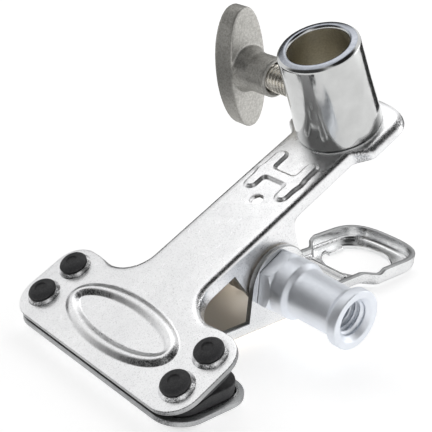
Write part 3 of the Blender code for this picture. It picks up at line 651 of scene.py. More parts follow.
def grid_points(low, high, spacing):
    """Square grid over a rectangle."""
    x = np.arange(low[0], high[0], spacing)
    y = np.arange(low[1], high[1], spacing)
    columns, rows = np.meshgrid(x, y)
    return np.stack([columns.ravel(), rows.ravel()], 1)


def clear_of(points, others, gap, reach=0.0):
    """True for the points that keep a gap, on top of their reach, from all others."""
    distance = np.linalg.norm(points[:, None, :] - np.array(others)[None, :, :], axis=2)
    return (distance - reach).min(1) > gap


def left_normals(loop):
    """Unit normals of a closed outline, on its left-hand side."""
    normals = []
    for j in range(len(loop)):
        along = (Vector(loop[(j + 1) % len(loop)]) - Vector(loop[j - 1])).normalized()
        normals.append(Vector((-along.y, along.x)))
    return normals


def flange_section(radius, depth):
    """(inset, drop) points round an edge, from the outer face to the inner one."""
    inner = max(radius - SHEET, 0.25 * MM)
    quarter = [0.5 * pi * step / 6 for step in range(7)]
    front = [(radius * (1 - sin(angle)), radius * (1 - cos(angle))) for angle in quarter]
    front += [(0.0, max(depth - EDGE, radius)), (0.3 * EDGE, depth - 0.3 * EDGE), (EDGE, depth)]
    back = [(SHEET - EDGE, depth), (SHEET - 0.3 * EDGE, depth - 0.3 * EDGE), (SHEET, depth - EDGE)]
    quarter = [0.5 * pi * step / 4 for step in range(5)]
    back += [(SHEET + inner * (1 - cos(angle)), SHEET + inner * (1 - sin(angle))) for angle in quarter]
    return front + [(inset, min(max(drop, SHEET), depth)) for inset, drop in back]


def hole_walls(bm, loop, height):
    """Wall of a hole with rounded edges, ring by ring from the outer face inwards."""
    normals = left_normals(loop)
    walls = []
    steps = ((EDGE, 0.0), (0.3 * EDGE, 0.3 * EDGE), (0.0, EDGE), (0.0, SHEET - EDGE), (EDGE, SHEET))
    for grow, drop in steps:
        walls.append([bm.verts.new((x - side.x * grow, y - side.y * grow, height - drop))
                      for (x, y), side in zip(loop, normals)])
    bridge(bm, walls)
    return walls


def face_points(border, rim, reach, raised, holes, patch):
    """(x, y, height) points over the flat face: pressed features, fine patch, plain grid."""
    low, high, height_of = patch
    filled = [point for points, clear in raised for point in points]
    area = grid_points(low, high, FINE_GRID)
    for loop, _ in holes:
        area = area[clear_of(area, loop, 0.5 * MM) & ~inside(area, loop)]
    filled += [(x, y, height_of(x, y)) for x, y in area]
    plain = grid_points(border.min(0), border.max(0), PLAIN_GRID)
    margin = 0.5 * FINE_GRID
    in_patch = (plain >= np.array(low) - margin).all(1) & (plain <= np.array(high) + margin).all(1)
    plain = plain[inside(plain, rim) & ~in_patch]
    plain = plain[clear_of(plain, border, 0.35 * MM, reach)]
    for points, clear in raised:
        plain = plain[clear_of(plain, [p[:2] for p in points], clear)]
    for loop, _ in holes:
        plain = plain[clear_of(plain, loop, 0.6 * MM) & ~inside(plain, loop)]
    return filled + [(x, y, 0.0) for x, y in plain]


def press(half, straight_end, fold_of, depth_of, raised, holes, patch):
    """Pressed sheet in its own frame, outer face at height 0 and flanges downwards.

    The flanges run straight up to straight_end. raised lists ((x, y, height)
    points, clearance) of pressed features, holes lists (outline, height), and
    patch is a finely divided (low, high, height function).
    """
    outline = mirrored(half)
    sections = []
    flat_edge = []
    for (x, y), outward in zip(outline, left_normals(outline)):
        if JAW_BACK + FILLET < x < straight_end - 0.1 * MM:
            outward = Vector((0.0, copysign(1.0, y)))
        radius = max(fold_of(x, abs(y)), EDGE)
        flat_edge.append(radius <= EDGE)
        section = flange_section(radius, max(depth_of(x, abs(y)), SHEET))
        sections.append([(x - outward.x * inset, y - outward.y * inset, -drop) for inset, drop in section])
    bm = bmesh.new()
    rings = [[bm.verts.new(point) for point in level] for level in zip(*sections)]
    for level, band in enumerate(bridge(bm, rings)):
        for face, flat in zip(band, flat_edge):
            if level in CUT_BANDS or (flat and level in FLAT_CUT_BANDS):
                face.material_index = 1

    rim, back_rim = [np.array([v.co[:2] for v in ring]) for ring in (rings[0], rings[-1])]
    border = np.array(outline)
    reach = np.maximum(np.linalg.norm(rim - border, axis=1), np.linalg.norm(back_rim - border, axis=1))
    filled = face_points(border, rim, reach, raised, holes, patch)

    flat, edges, tops, bottoms = [], [], [], []
    for walls in [rings] + [hole_walls(bm, loop, height) for loop, height in holes]:
        start, count = len(flat), len(walls[0])
        flat += [tuple(v.co[:2]) for v in walls[0]]
        edges += [(start + j, start + (j + 1) % count) for j in range(count)]
        tops += walls[0]
        bottoms += walls[-1]
    for x, y, height in filled:
        flat.append((x, y))
        tops.append(bm.verts.new((x, y, height)))
        bottoms.append(bm.verts.new((x, y, height - SHEET)))
    made = delaunay_2d_cdt([Vector(p) for p in flat], edges, [], 1, 1e-9)
    source = [ids[0] for ids in made[3]]
    faces = np.array([[source[j] for j in face] for face in made[2]])
    centres = np.array(flat)[faces].mean(1)
    solid = inside(centres, rim)
    for loop, _ in holes:
        solid &= ~inside(centres, loop)
    for corners in faces[solid]:
        bm.faces.new([tops[j] for j in corners])
        bm.faces.new([bottoms[j] for j in corners[::-1]])
    bmesh.ops.delete(bm, geom=[v for v in bm.verts if not v.link_faces], context="VERTS")
    return bm


def jaw_outline(neck):
    """Half outline from the nose to the start of the neck."""
    points = [(JAW_FRONT, 0.0)]
    corner = JAW_HALF - JAW_CORNER_FRONT
    points += arc(JAW_FRONT + JAW_CORNER_FRONT, corner, JAW_CORNER_FRONT, 180, 90, 24)
    corner = JAW_HALF - JAW_CORNER_BACK
    points += arc(JAW_BACK - JAW_CORNER_BACK, corner, JAW_CORNER_BACK, 90, 0, 20)
    points += [(JAW_BACK, LIP_START + 0.5 * MM), (JAW_BACK, LIP_START - 1.2 * MM)]
    points += arc(JAW_BACK + FILLET, neck + FILLET, FILLET, 180, 270, 24)
    return points


def widening(start, stop, narrow, wide, steps):
    """Smooth change of half width along a lever, without its first point."""
    xs = [start + (stop - start) * j / steps for j in range(1, steps + 1)]
    return [(x, narrow + (wide - narrow) * ease(x, start, stop)) for x in xs]


def rounded_end(centre, half_width, end, steps=44, power=0.8):
    """Half outline of a blunt rounded end."""
    points = []
    for j in range(steps):
        angle = 0.5 * pi * (1 - j / steps)
        x = centre + (end - centre) * max(cos(angle), 0.0) ** power
        points.append((x, half_width * sin(angle) ** power))
    return points + [(end, 0.0)]


def ear_stations(centre, radius, front, back, steps=56):
    """Positions along a lever where an ear's round edge is sampled."""
    round_part = [centre - radius * cos(pi * j / steps) for j in range(steps + 1)]
    return [front] + [x for x in round_part if front < x < back] + [back]


def lip_factor(x, y):
    """0 on the flat jaw, 1 where the edge is turned over."""
    if x > JAW_BACK + 0.5 * MM:
        return 1.0
    if x < JAW_BACK - 0.5 * MM:
        return 0.0
    return 1.0 - ease(y, LIP_START - 3 * MM, LIP_START)


def upper_fold(x, y):
    """Outer fold radius along the upper lever."""
    radius = UPPER_FOLD + (HEAD_FOLD - UPPER_FOLD) * ease(x, HEAD_START, HEAD_FULL)
    return radius * lip_factor(x, y)


def upper_depth(x, y):
    """Flange depth along the upper lever, measured from the outer face."""
    front, ear = EAR_FRONT
    if x > HEAD_START:
        return UPPER_FLANGE + (HEAD_RIM - UPPER_FLANGE) * ease(x, HEAD_START, HEAD_FULL)
    if x <= front:
        return SHEET + (UPPER_FLANGE + 0.4 * MM - SHEET) * lip_factor(x, y)
    if x < ear:
        return SHOULDER + (x - front) / (ear - front) * (PIVOT_TOP - SHOULDER)
    if x <= EAR_BACK:
        reach = EAR_R ** 2 - (x - EAR_X) ** 2
        return PIVOT_TOP + sqrt(max(reach, 0.0))
    past = (x - EAR_BACK) / EAR_SWEEP
    return UPPER_FLANGE + (PIVOT_TOP - UPPER_FLANGE) * exp(-past)


def lower_fold(x, y):
    """Outer fold radius along the lower lever."""
    radius = JAW_FOLD + (LOWER_FOLD - JAW_FOLD) * ease(x, JAW_BACK, JAW_BACK + FILLET)
    radius += (RING_FOLD - LOWER_FOLD) * ease(x, RING_START, RING_FULL)
    return radius * lip_factor(x, y)


def lower_depth(x, y):
    """Flange height along the lower lever, measured from the outer face."""
    if x > RING_START:
        return WAIST_RIM + (RING_RIM - WAIST_RIM) * ease(x, *RIM_STEP)
    if x < -EAR_R:
        return SHEET + (LOWER_LIP - SHEET) * lip_factor(x, y)
    if x > EAR_R:
        return LOWER_LIP + (WAIST_RIM - LOWER_LIP) * ease(x, EAR_R, TAPER_END)
    return SHEET + PIVOT_Z + sqrt(max(EAR_R ** 2 - x ** 2, 0.0))


def upper_outline():
    """Half outline of the upper lever."""
    points = jaw_outline(UPPER_NECK)
    xs = [-14.5 * MM, EAR_FRONT[0], -10.3 * MM, -9.8 * MM, -9.3 * MM]
    xs += ear_stations(EAR_X, EAR_R, EAR_FRONT[1], EAR_BACK)
    xs += [EAR_BACK + 0.16 * MM * j for j in range(1, 22)]
    points += [(x, UPPER_NECK) for x in xs]
    points += divided([(xs[-1], UPPER_NECK), (HEAD_START, UPPER_NECK)], 0.9 * MM)[1:]
    points += widening(HEAD_START, HEAD_FULL, UPPER_NECK, HEAD_HALF, 16)
    points += divided([(HEAD_FULL, HEAD_HALF), (HEAD_ARC, HEAD_HALF)], 0.9 * MM)[1:-1]
    return points + rounded_end(HEAD_ARC, HEAD_HALF, HEAD_END)


def lower_outline():
    """Half outline of the lower lever."""
    points = jaw_outline(LOWER_NECK)
    xs = [-13 * MM, -EAR_R - 0.3 * MM]
    xs += ear_stations(0.0, EAR_R, -EAR_R, EAR_R)
    xs += [EAR_R + 0.3 * MM, TAPER_START]
    points += [(x, LOWER_NECK) for x in xs]
    points += widening(TAPER_START, TAPER_END, LOWER_NECK, LOWER_WAIST, 14)
    points += divided([(TAPER_END, LOWER_WAIST), (RING_START, LOWER_WAIST)], 0.9 * MM)[1:]
    points += widening(RING_START, RING_FULL, LOWER_WAIST, RING_HALF, 16)
    points += divided([(RING_FULL, RING_HALF), (RIM_STEP[1], RING_HALF)], 0.2 * MM)[1:]
    points += divided([(RIM_STEP[1], RING_HALF), (RING_ARC, RING_HALF)], 0.9 * MM)[1:-1]
    return points + rounded_end(RING_ARC, RING_HALF, RING_END, power=RING_BLUNT)


def bead_points():
    """Rows of points along the oval bead, with a flat row beyond each side."""
    points = []
    for i in range(BEAD_ROWS):
        across = 1.28 * (2 * i / (BEAD_ROWS - 1) - 1)
        rise = BEAD_HEIGHT * max(1 - across ** 2, 0.0) ** 1.25
        for j in range(BEAD_STEPS):
            angle = 2 * pi * (j + 0.5 * (i % 2)) / BEAD_STEPS
            normal = Vector((cos(angle) / BEAD_HALF_U, sin(angle) / BEAD_HALF_V)).normalized()
            x = BEAD_U + BEAD_HALF_U * cos(angle) + normal.x * across * BEAD_WIDTH
            y = BEAD_HALF_V * sin(angle) + normal.y * across * BEAD_WIDTH
            points.append((x, y, rise))
    return points


def collar_points(u, v):
    """Rings of points round one stud hole."""
    points = []
    for radius in COLLAR_RINGS:
        rise = COLLAR_HEIGHT * (1 - ease(radius * MM, COLLAR_TOP_R, COLLAR_BASE_R))
        points += [(x, y, rise) for x, y in circle(u, v, radius * MM)]
    return points


def circle(u, v, radius, steps=48):
    return arc(u, v, radius, 0, 360 - 360 / steps, steps - 1)


def segment_distance(x, y, start, stop):
    """Distance from a point to a segment."""
    ax, ay = start
    dx, dy = stop[0] - ax, stop[1] - ay
    t = ((x - ax) * dx + (y - ay) * dy) / (dx * dx + dy * dy)
    t = min(max(t, 0.0), 1.0)
    return hypot(x - ax - t * dx, y - ay - t * dy)


def h_height(x, y):
    """Height of the H stiffening rib."""
    far = segment_distance(x, abs(y), (RIB_U[0], RIB_V), (RIB_U[1], RIB_V))
    cross = segment_distance(x, y, (RIB_CROSS_U, -RIB_V), (RIB_CROSS_U, RIB_V))
    share = min(max(0.5 + 0.5 * (cross - far) / RIB_BLEND, 0.0), 1.0)
    distance = cross + (far - cross) * share - RIB_BLEND * share * (1 - share)
    return RIB_HEIGHT * (1 - ease(distance, RIB_HALF - 0.7 * MM, RIB_HALF + 0.35 * MM))


def step_height(x, y):
    """Height of the cross rib on the lower lever, negative towards its inner side."""
    distance = segment_distance(x, y, (STEP_X, -STEP_HALF), (STEP_X, STEP_HALF))
    return -STEP_HEIGHT * (1 - ease(distance, 0.5 * MM, STEP_REACH))


def jaw_features():
    """Bead, collars and stud holes, the same on both jaws."""
    raised = [(collar_points(u, v), 0.6 * MM) for u, v in STUD_SPOTS]
    holes = [(circle(u, v, STUD_HOLE_R), COLLAR_HEIGHT) for u, v in STUD_SPOTS]
    return raised + [(bead_points(), 0.7 * MM)], holes


def ring_eye():
    """Finger hole of the ring, with the small tab left standing in it."""
    edge = [sqrt(RING_HOLE_R ** 2 - (x - RING_HOLE_X) ** 2) for x in TAB_X]
    start = degrees(atan2(edge[0], TAB_X[0] - RING_HOLE_X))
    stop = degrees(atan2(edge[1], TAB_X[1] - RING_HOLE_X)) + 360.0
    outline = arc(RING_HOLE_X, 0.0, RING_HOLE_R, start, stop, 110)
    corner = [outline[-1], (TAB_X[1], TAB_Y), (TAB_X[0], TAB_Y), outline[0]]
    return outline[:-1] + rounded(corner, 0.45 * MM)[:-1]


def plug(radius, low, high):
    """Plain round cutter."""
    return lathe([(0.0, high), (radius, high), (radius, low), (0.0, low)], 64)


def make_lever(kind, sheet, place, ear_hole, axle):
    """Shown lever from its pressed sheet, with the pivot hole through both ears."""
    node = piece(kind + "_lever", "sheet", sheet, place, kind, "zinc_" + kind)
    boolean(node, plug(ear_hole, -20 * MM, 20 * MM), axle @ TO_FAR)


def make_upper_lever():
    raised, holes = jaw_features()
    holes.append((circle(CENTRE_HOLE_U, 0.0, CENTRE_HOLE_R), 0.0))
    holes.append((circle(SOCKET_U, 0.0, SOCKET_TAIL_R + 0.2 * MM, 96), 0.0))
    margin = 2.9 * MM
    patch = ((RIB_U[0] - margin, -RIB_V - margin), (RIB_U[1] + margin, RIB_V + margin), h_height)
    bm = press(upper_outline(), HEAD_ARC, upper_fold, upper_depth, raised, holes, patch)
    make_lever("upper", bm, UPPER, EAR_HOLE_UPPER, JAW_AXLE)


def make_lower_lever():
    raised, holes = jaw_features()
    holes.append((ring_eye(), 0.0))
    low = (STEP_X - 2.4 * MM, -STEP_HALF - 2.3 * MM)
    high = (STEP_X + 2.4 * MM, STEP_HALF + 2.3 * MM)
    bm = press(lower_outline(), RING_ARC, lower_fold, lower_depth, raised, holes, (low, high, step_height))
    flip = lift(-SHEET) @ Matrix.Scale(-1.0, 4, (0.0, 0.0, 1.0))
    bmesh.ops.transform(bm, matrix=flip, verts=bm.verts)
    make_lever("lower", bm, LOWER, EAR_HOLE_LOWER, AXLE)


# ---- rubber
def make_pad(name, body, matrix):
    """Rubber pad with rounded edges and a nose that slopes to the other pad."""
    front = JAW_FRONT + PAD_INSET
    back = JAW_BACK - PAD_INSET
    corner = JAW_HALF - PAD_INSET - PAD_CORNER
    half = [(front, 0.0)] + arc(front + PAD_CORNER, corner, PAD_CORNER, 180, 90, 16)
    half += arc(back - PAD_CORNER, corner, PAD_CORNER, 90, 0, 16) + [(back, 0.0)]
    outline = mirrored(divided(half, 1.2 * MM))
    normals = left_normals(outline)
    rise = tan(0.5 * SLOPE)
    edge = 0.22 * MM
    bm = bmesh.new()
    rings = []
    levels = ((edge, 0.0), (0.3 * edge, 0.02), (0.0, 0.08), (0.0, 0.90))
    levels += ((0.35 * edge, 0.97), (edge, 1.0), (1.4 * MM, 1.0))
    for inset, level in levels:
        ring = []
        for (x, y), side in zip(outline, normals):
            x -= side.x * inset
            thick = min(PAD_THICK, PAD_NOSE + (x - front) * rise)
            ring.append(bm.verts.new((x, y - side.y * inset, -thick * level)))
        rings.append(ring)
    bridge(bm, rings)
    bm.faces.new(rings[0])
    inner, count = rings[-1], len(rings[-1])
    for j in range(count // 2 - 1):
        across = dict.fromkeys((j, j + 1, count - 1 - j, (count - j) % count))
        bm.faces.new([inner[k] for k in across])
    bm.faces.new(inner[count // 2 - 1:count // 2 + 2])
    triangulate(bm)
    piece(name, "sheet", bm, matrix, body, "pad_rubber", smooth=30.0)
    top = SHEET + REST_GAP + STUD_HEAD_RISE
    seat = SHEET + 2 * REST_GAP + COLLAR_HEIGHT
    head = STUD_HEAD_R
    profile = [(0.0, top - 0.42 * MM), (1.38 * MM, top - 0.40 * MM), (1.48 * MM, top - 0.03 * MM)]
    profile += [(1.70 * MM, top), (2.6 * MM, top - 0.22 * MM), (3.35 * MM, top - 0.62 * MM)]
    profile += [(head - 0.02 * MM, top - 1.15 * MM), (head - 0.18 * MM, seat + 0.10 * MM)]
    profile += [(head - 0.60 * MM, seat + 0.02 * MM), (STUD_SHAFT_R, seat)]
    profile += [(STUD_SHAFT_R, -1.2 * MM), (0.0, -1.2 * MM)]
    studs = bmesh.new()
    for u, v in STUD_SPOTS:
        one = lathe(rounded(profile, 0.16 * MM), 64)
        bmesh.ops.translate(one, verts=one.verts, vec=(u, v, 0.0))
        studs.from_mesh(mesh_of("stud", one))
    piece(name, "studs", studs, matrix, body, "pad_rubber", replaces=False)


# ---- turned parts
def make_bolt(place):
    """Pivot bolt with a chamfered hexagon head."""
    corners = 0.5 * BOLT_FLATS / cos(pi / 6)
    profile = [(0.0, BOLT_TOP), (4.7 * MM, BOLT_TOP), (corners, BOLT_TOP - 0.65 * MM)]
    profile += [(corners, BOLT_SEAT + 0.15 * MM), (corners - 0.15 * MM, BOLT_SEAT), (BOLT_R, BOLT_SEAT)]
    profile += [(BOLT_R, BOLT_END + 0.4 * MM), (BOLT_R - 0.4 * MM, BOLT_END), (0.0, BOLT_END)]
    bolt = piece("pivot_bolt", "turned", lathe(profile), place, "lower", "steel")
    boolean(bolt, hexagon_ring(BOLT_FLATS, BOLT_SEAT - 0.2 * MM, BOLT_TOP + 1 * MM), place)


def make_tube(name, kind, radius, low, high, soft, place):
    """Tube or washer round the bolt."""
    seam = (BOLT_CLEAR, 0.5 * (low + high))
    wall = [seam, (BOLT_CLEAR, high), (radius, high), (radius, low), (BOLT_CLEAR, low), seam]
    return piece(name, kind, lathe(rounded(wall, soft)), place, "lower", "steel")


def make_pivot():
    """Bolt, sleeve and washers."""
    place = AXLE @ TO_FAR
    make_bolt(place)
    make_tube("pivot_sleeve", "tube", SLEEVE_R, -SLEEVE_HALF, SLEEVE_HALF, 0.25 * MM, place)
    make_tube("plain_washer", "disc", WASHER_R, *WASHER_SPAN, 0.2 * MM, place)
    lock = make_tube("spring_washer", "disc", LOCK_R, *LOCK_SPAN, 0.2 * MM, place)
    low, high = LOCK_SPAN
    slit = Matrix.Translation((LOCK_R, 0.0, 0.5 * (low + high)))
    slit @= Matrix.Diagonal((2 * LOCK_R, 0.6 * MM, 3 * (high - low), 1.0))
    split = bmesh.new()
    bmesh.ops.create_cube(split, size=1.0, matrix=slit)
    boolean(lock, split, place)


def make_spring():
    """Wound torsion spring, from the upper lever's leg to the lower one's."""
    tip = Matrix.Rotation(-SLOPE, 3, "Y") @ Vector((5.5 * MM, 0.0, 10 * MM))
    foot = Vector((20 * MM, 0.0, -PIVOT_Z + WIRE_R + 0.2 * MM))
    start = atan2(tip.z, tip.x) + acos(COIL_R / tip.length)
    stop = atan2(foot.z, foot.x) - acos(COIL_R / foot.length) + 2 * pi * COIL_TURNS
    points = [(tip.x, -COIL_HALF, tip.z)]
    steps = 40 * COIL_TURNS
    for j in range(steps + 1):
        angle = start + (stop - start) * j / steps
        points.append((COIL_R * cos(angle), COIL_HALF * (2 * j / steps - 1), COIL_R * sin(angle)))
    points.append((foot.x, COIL_HALF, foot.z))
    curve = bpy.data.curves.new("spring_path", "CURVE")
    curve.dimensions = "3D"
    curve.bevel_depth = WIRE_R
    curve.bevel_resolution = 5
    curve.use_fill_caps = True
    spline = curve.splines.new("POLY")
    spline.points.add(len(points) - 1)
    for target, point in zip(spline.points, points):
        target.co = (*point, 1.0)
    path = show("spring_path", curve)
    bm = bmesh.new()
    bm.from_mesh(evaluated(path))
    bpy.data.objects.remove(path)
    piece("torsion_spring", "wire", bm, AXLE, "lower", "spring_steel")


def make_stud():
    """Side stud: hexagon, collar, waist, flange and tapped hole."""
    place = AXLE @ TO_NEAR
    hexagon = 0.5 * STUB_FLATS / cos(pi / 6)
    tip, bore, clear = STUB_TIP, STUB_THREAD_R, BOLT_R + 0.2 * MM
    collar = STUB_R - 0.05 * MM
    outer = [(bore, tip - 1.25 * MM), (STUB_MOUTH_R, tip)]
    outer += [(STUB_R - 0.1 * MM, tip), (STUB_R, tip - 2.6 * MM)]
    outer += [(STUB_WAIST_R - 0.2 * MM, tip - 4.2 * MM), (STUB_WAIST_R, STUB_WAIST)]
    outer += [(collar, STUB_WAIST - 1.2 * MM), (collar, STUB_SHOULDER)]
    outer += [(hexagon, STUB_SHOULDER - 1.05 * MM), (hexagon, STUB_ROOT), (clear, STUB_ROOT)]
    profile = [(0.0, STUB_HOLE_END), (bore, STUB_HOLE_END)]
    profile += rounded(outer, 0.35 * MM) + [(clear, BOLT_HOLE_END), (0.0, BOLT_HOLE_END)]
    stud = piece("threaded_stud", "turned", lathe(profile, 120), place, "lower", "aluminium")
    ring = hexagon_ring(STUB_FLATS, STUB_ROOT - 1 * MM, STUB_SHOULDER + 0.4 * MM, radians(30))
    boolean(stud, ring, place)
    thread = threaded(STUB_HOLE_END + 0.1 * MM, tip - 1.3 * MM, bore - 0.85 * MM,
                      bore - 0.05 * MM, STUD_PITCH, bore - 0.01 * MM)
    piece("stud", "thread", thread, place, "lower", "aluminium", False, THREAD_CREASE)


def socket_finish(radius, height):
    """Material number: 0 chromed wall, 1 plain bore, 2 turned top face."""
    if radius < SOCKET_BORE_R + 0.02 * MM:
        return 1
    return 2 if height > SOCKET_TOP - 0.32 * MM else 0


def make_socket():
    """Receiver socket with a lightly tapered wall and a spun tail."""
    place = UPPER @ Matrix.Translation((SOCKET_U, 0.0, 0.0))
    bore, top, rim, base = SOCKET_BORE_R, SOCKET_TOP, SOCKET_TOP_R, SOCKET_BASE_R
    under = -SHEET - REST_GAP
    wall = [(bore, 12 * MM), (bore, top - 0.7 * MM), (bore + 0.55 * MM, top)]
    wall += [(rim - 1.6 * MM, top - 0.08 * MM), (rim - 0.7 * MM, top - 0.30 * MM), (rim, top - 1 * MM)]
    wall += [(0.5 * (rim + base) - 0.12 * MM, 0.5 * top), (base, 0.5 * MM), (base - 0.2 * MM, REST_GAP)]
    wall += [(SOCKET_TAIL_R, REST_GAP), (SOCKET_TAIL_R, under), (SOCKET_SPUN_R, under)]
    wall += [(SOCKET_SPUN_R, SOCKET_END + 0.1 * MM), (SOCKET_TAIL_R - 0.2 * MM, SOCKET_END)]
    wall += [(bore, SOCKET_END), (bore, 12 * MM)]
    bm = lathe(rounded(wall, 0.35 * MM, 4), 144, socket_finish)
    node = piece("receiver_socket", "turned", bm, place, "upper", "chrome")
    boolean(node, plug(SCREW_HOLE_R, 4 * MM, 16 * MM), SCREW_OUT)


def make_screw(place):
    """Pressure tip and threaded screw with its hollow nose."""
    end = SCREW_END
    back, step = end + 2.3 * MM, end - 0.2 * MM
    profile = [(0.0, back), (TIP_STEM_R, back), (TIP_STEM_R, step), (TIP_R, step)]
    profile += [(TIP_R, end - 1.4 * MM), (TIP_R - 0.2 * MM, TIP_FACE), (0.0, TIP_FACE)]
    piece("pressure_tip", "moulded", lathe(rounded(profile), 64), place, "tip", "nylon")

    rod = threaded(end + 2.6 * MM, SCREW_TAIL, SCREW_R, SCREW_ROOT_R, SCREW_PITCH)
    piece("clamp_screw", "threaded", rod, place, "wing_screw", "nickel", smooth=THREAD_CREASE)
    clear = TIP_STEM_R + 0.2 * MM
    nose = [(clear, end + 2.5 * MM), (clear, end), (SCREW_R - 0.7 * MM, end), (SCREW_ROOT_R, end + 0.5 * MM)]
    nose += [(SCREW_ROOT_R, end + 2.7 * MM), (clear, end + 2.7 * MM), (clear, end + 2.5 * MM)]
    piece("clamp_screw", "nose", lathe(nose, 64), place, "wing_screw", "nickel", replaces=False)


def wing_plate():
    """Crowned oval plate of the knob, long way along X."""
    bm = bmesh.new()
    rings = []
    for inset, level, crowned in WING_LEVELS:
        ring = []
        for j in range(96):
            angle = 2 * pi * j / 96
            x = (WING_LONG - inset * MM) * copysign(abs(cos(angle)) ** 0.9, cos(angle))
            y = (WING_SHORT - inset * MM) * copysign(abs(sin(angle)) ** 0.9, sin(angle))
            crown = crowned * WING_CROWN * (1 - (x / WING_LONG) ** 2)
            ring.append(bm.verts.new((x, y, WING_FACE + level * MM + crown)))
        rings.append(ring)
    bridge(bm, rings)
    bm.faces.new(rings[0])
    bm.faces.new(rings[-1][::-1])
    triangulate(bm)
    return bm


def make_knob(place):
    """Cast knob: oval plate on a round barrel, bored for the screw."""
    lean = place @ Matrix.Rotation(WING_LEAN, 4, "Z")
    knob = piece("wing_knob", "casting", wing_plate(), lean, "wing_screw", "cast_knob")
    back = WING_FACE + 2.8 * MM
    profile = [(0.0, back), (6.4 * MM, back), (6.8 * MM, WING_FACE - 0.3 * MM)]
    profile += [(6.1 * MM, WING_FACE - 2 * MM), (BARREL_R - 0.05 * MM, 28 * MM)]
    profile += [(BARREL_R, BARREL_END + 0.5 * MM), (BARREL_R - 0.6 * MM, BARREL_END), (0.0, BARREL_END)]
    boolean(knob, lathe(profile), place, "UNION")
    remesh = knob.modifiers.new("remesh", "REMESH")
    remesh.mode = "VOXEL"
    remesh.voxel_size = 0.26 * MM
    relax = knob.modifiers.new("relax", "SMOOTH")
    relax.factor = 0.5
    relax.iterations = 2
    apply_modifiers(knob)
    floor, mouth = SCREW_TAIL + 1.2 * MM, BARREL_END - 3 * MM
    bore = [(0.0, floor), (SCREW_HOLE_R, floor), (SCREW_HOLE_R, BARREL_END + 1.2 * MM)]
    bore += [(4.9 * MM, BARREL_END + 0.5 * MM), (4.9 * MM, mouth), (0.0, mouth)]
    boolean(knob, lathe(bore), place)
    finish = knob.data.materials
    finish.clear()
    finish.append(FINISHES["cast_knob"][0])


make_upper_lever()
make_lower_lever()
make_pad("upper_pad", "upper", UPPER @ lift(-SHEET - REST_GAP))
make_pad("lower_pad", "lower", LOWER @ lift(REST_GAP) @ Matrix.Rotation(pi, 4, "X"))
make_pivot()
make_spring()
make_stud()
make_socket()
make_screw(SCREW_OUT)
make_knob(SCREW_OUT)


# ---- the studio
FLOOR_GLOW = 0.60
WORLD_LEVEL = 0.98
DARK_ZONES = (  # direction, inner and outer cosine, brightness left
    ((0.00, -0.52, 0.86), 0.92, 0.78, 0.02),
    ((-0.90, 0.05, 0.22), 0.86, 0.55, 0.06),
    ((0.45, 0.85, 0.35), 0.95, 0.86, 0.05),
)
LAMPS = (  # name, direction, distance, size, watts
    ("key", (0.35, 0.45, 0.90), 0.9, 0.7, 0.7),
    ("fill", (0.92, -0.45, 0.25), 0.9, 0.5, 0.8),
)
FLAGS = (  # name, centre, width, height, stands upright
    ("flag_left", (-0.075, 0.125, 0.001), 0.17, 0.13, False),
    ("flag_right", (0.24, 0.02, 0.05), 0.10, 0.10, True),
)
CAMERA_AZIMUTH = radians(-43.19)
CAMERA_ELEVATION = radians(24.94)
CAMERA_ROLL = radians(2.73)
CAMERA_DISTANCE = 0.2614
CAMERA_LENS = 83.5
CAMERA_LOOK = (-0.0107, 0.0037, 0.0280)
CAMERA_SHIFT = (-0.0118, 0.0105)


def stage_sheet(name, matrix, segments, mat):
    """Flat stage object, cut into a few squares."""
    bm = bmesh.new()
    bmesh.ops.create_grid(bm, x_segments=segments, y_segments=segments, size=0.5, matrix=matrix)
    sheet = show(name, mesh_of(name, bm))
    sheet.data.materials.append(mat)
    return sheet


def make_floor():
    """Plain pale sweep under the clamp."""
    s = Shader("studio_paper")
    colour = s.clouds(400, (0.72, 0.72, 0.72), (0.70, 0.70, 0.70))
    s.finish(colour, s.sheen(50, 0.85, 0.95), s.bump(s.noise(2), 0.01), 0.0, 0.2)
    s.main.inputs["Emission Color"].default_value = (1.0, 1.0, 1.0, 1.0)
    s.main.inputs["Emission Strength"].default_value = FLOOR_GLOW
    floor = stage_sheet("studio_floor", Matrix.Scale(6.0, 4), 8, s.mat)
    floor.location.z = -0.05 * MM


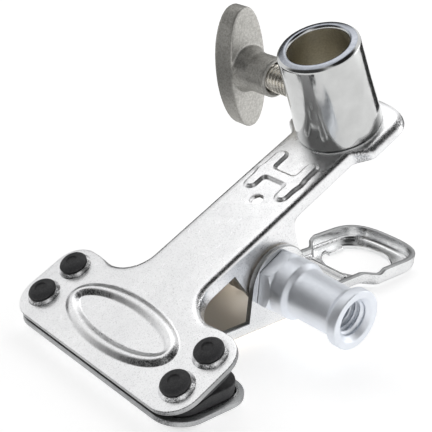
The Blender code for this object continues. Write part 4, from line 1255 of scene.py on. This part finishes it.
def make_flags():
    """Dark cloths out of the picture that draw dark lines in the bright metal."""
    for name, centre, width, height, stands in FLAGS:
        s = Shader(name)
        colour = s.clouds(10, (0.02, 0.02, 0.02), (0.03, 0.03, 0.03))
        s.finish(colour, s.sheen(10, 0.8, 0.9), s.bump(s.noise(2), 0.1), 0.0)
        upright = Matrix.Rotation(0.5 * pi if stands else 0.0, 4, "X")
        flag = stage_sheet(name, upright @ Matrix.Diagonal((width, height, 1.0, 1.0)), 2, s.mat)
        flag.location = centre
        flag.rotation_euler.z = atan2(centre[1], centre[0]) + 0.5 * pi
        flag.visible_camera = flag.visible_diffuse = flag.visible_shadow = False


def make_world():
    """Soft white surroundings with a few dark gaps between the lights."""
    world = bpy.data.worlds.new("studio")
    scene.world = world
    world.use_nodes = True
    nodes = Nodes(world.node_tree)
    where = nodes.add("TexCoord").outputs["Generated"]
    level = None
    for direction, inner, outer, left in DARK_ZONES:
        zone = nodes.ramp(nodes.facing(where, direction), outer, inner, 1.0, left)
        zone.node.interpolation_type = "SMOOTHSTEP"
        level = zone if level is None else nodes.maths("MULTIPLY", level, zone)
    shine = nodes.tree.nodes["Background"].inputs
    shine["Color"].default_value = (1.0, 1.0, 1.0, 1.0)
    nodes.tree.links.new(nodes.maths("MULTIPLY", level, WORLD_LEVEL), shine["Strength"])


def make_lamps():
    """Two large soft boxes."""
    target = PIVOT + Vector((0.0, 0.0, 20 * MM))
    for name, direction, distance, size, power in LAMPS:
        light = bpy.data.lights.new(name, "AREA")
        light.shape = "DISK"
        light.size = size
        light.energy = power
        lamp = show(name, light)
        lamp.location = target + Vector(direction).normalized() * distance
        lamp.rotation_euler = (target - lamp.location).to_track_quat("-Z", "Y").to_euler()


def make_camera():
    """Three-quarter view onto the near side, from a little above."""
    level = cos(CAMERA_ELEVATION)
    back = Vector((sin(CAMERA_AZIMUTH) * level, -cos(CAMERA_AZIMUTH) * level, sin(CAMERA_ELEVATION)))
    data = bpy.data.cameras.new("camera")
    data.lens = CAMERA_LENS
    data.shift_x, data.shift_y = CAMERA_SHIFT
    data.clip_start = 0.01
    camera = show("camera", data)
    camera.location = Vector(CAMERA_LOOK) + back * CAMERA_DISTANCE
    turn = (-back).to_track_quat("-Z", "Y").to_matrix().to_4x4()
    camera.rotation_euler = (turn @ Matrix.Rotation(CAMERA_ROLL, 4, "Z")).to_euler()
    scene.camera = camera


make_floor()
make_world()
make_lamps()
make_flags()
make_camera()
scene.view_settings.view_transform = "Standard"
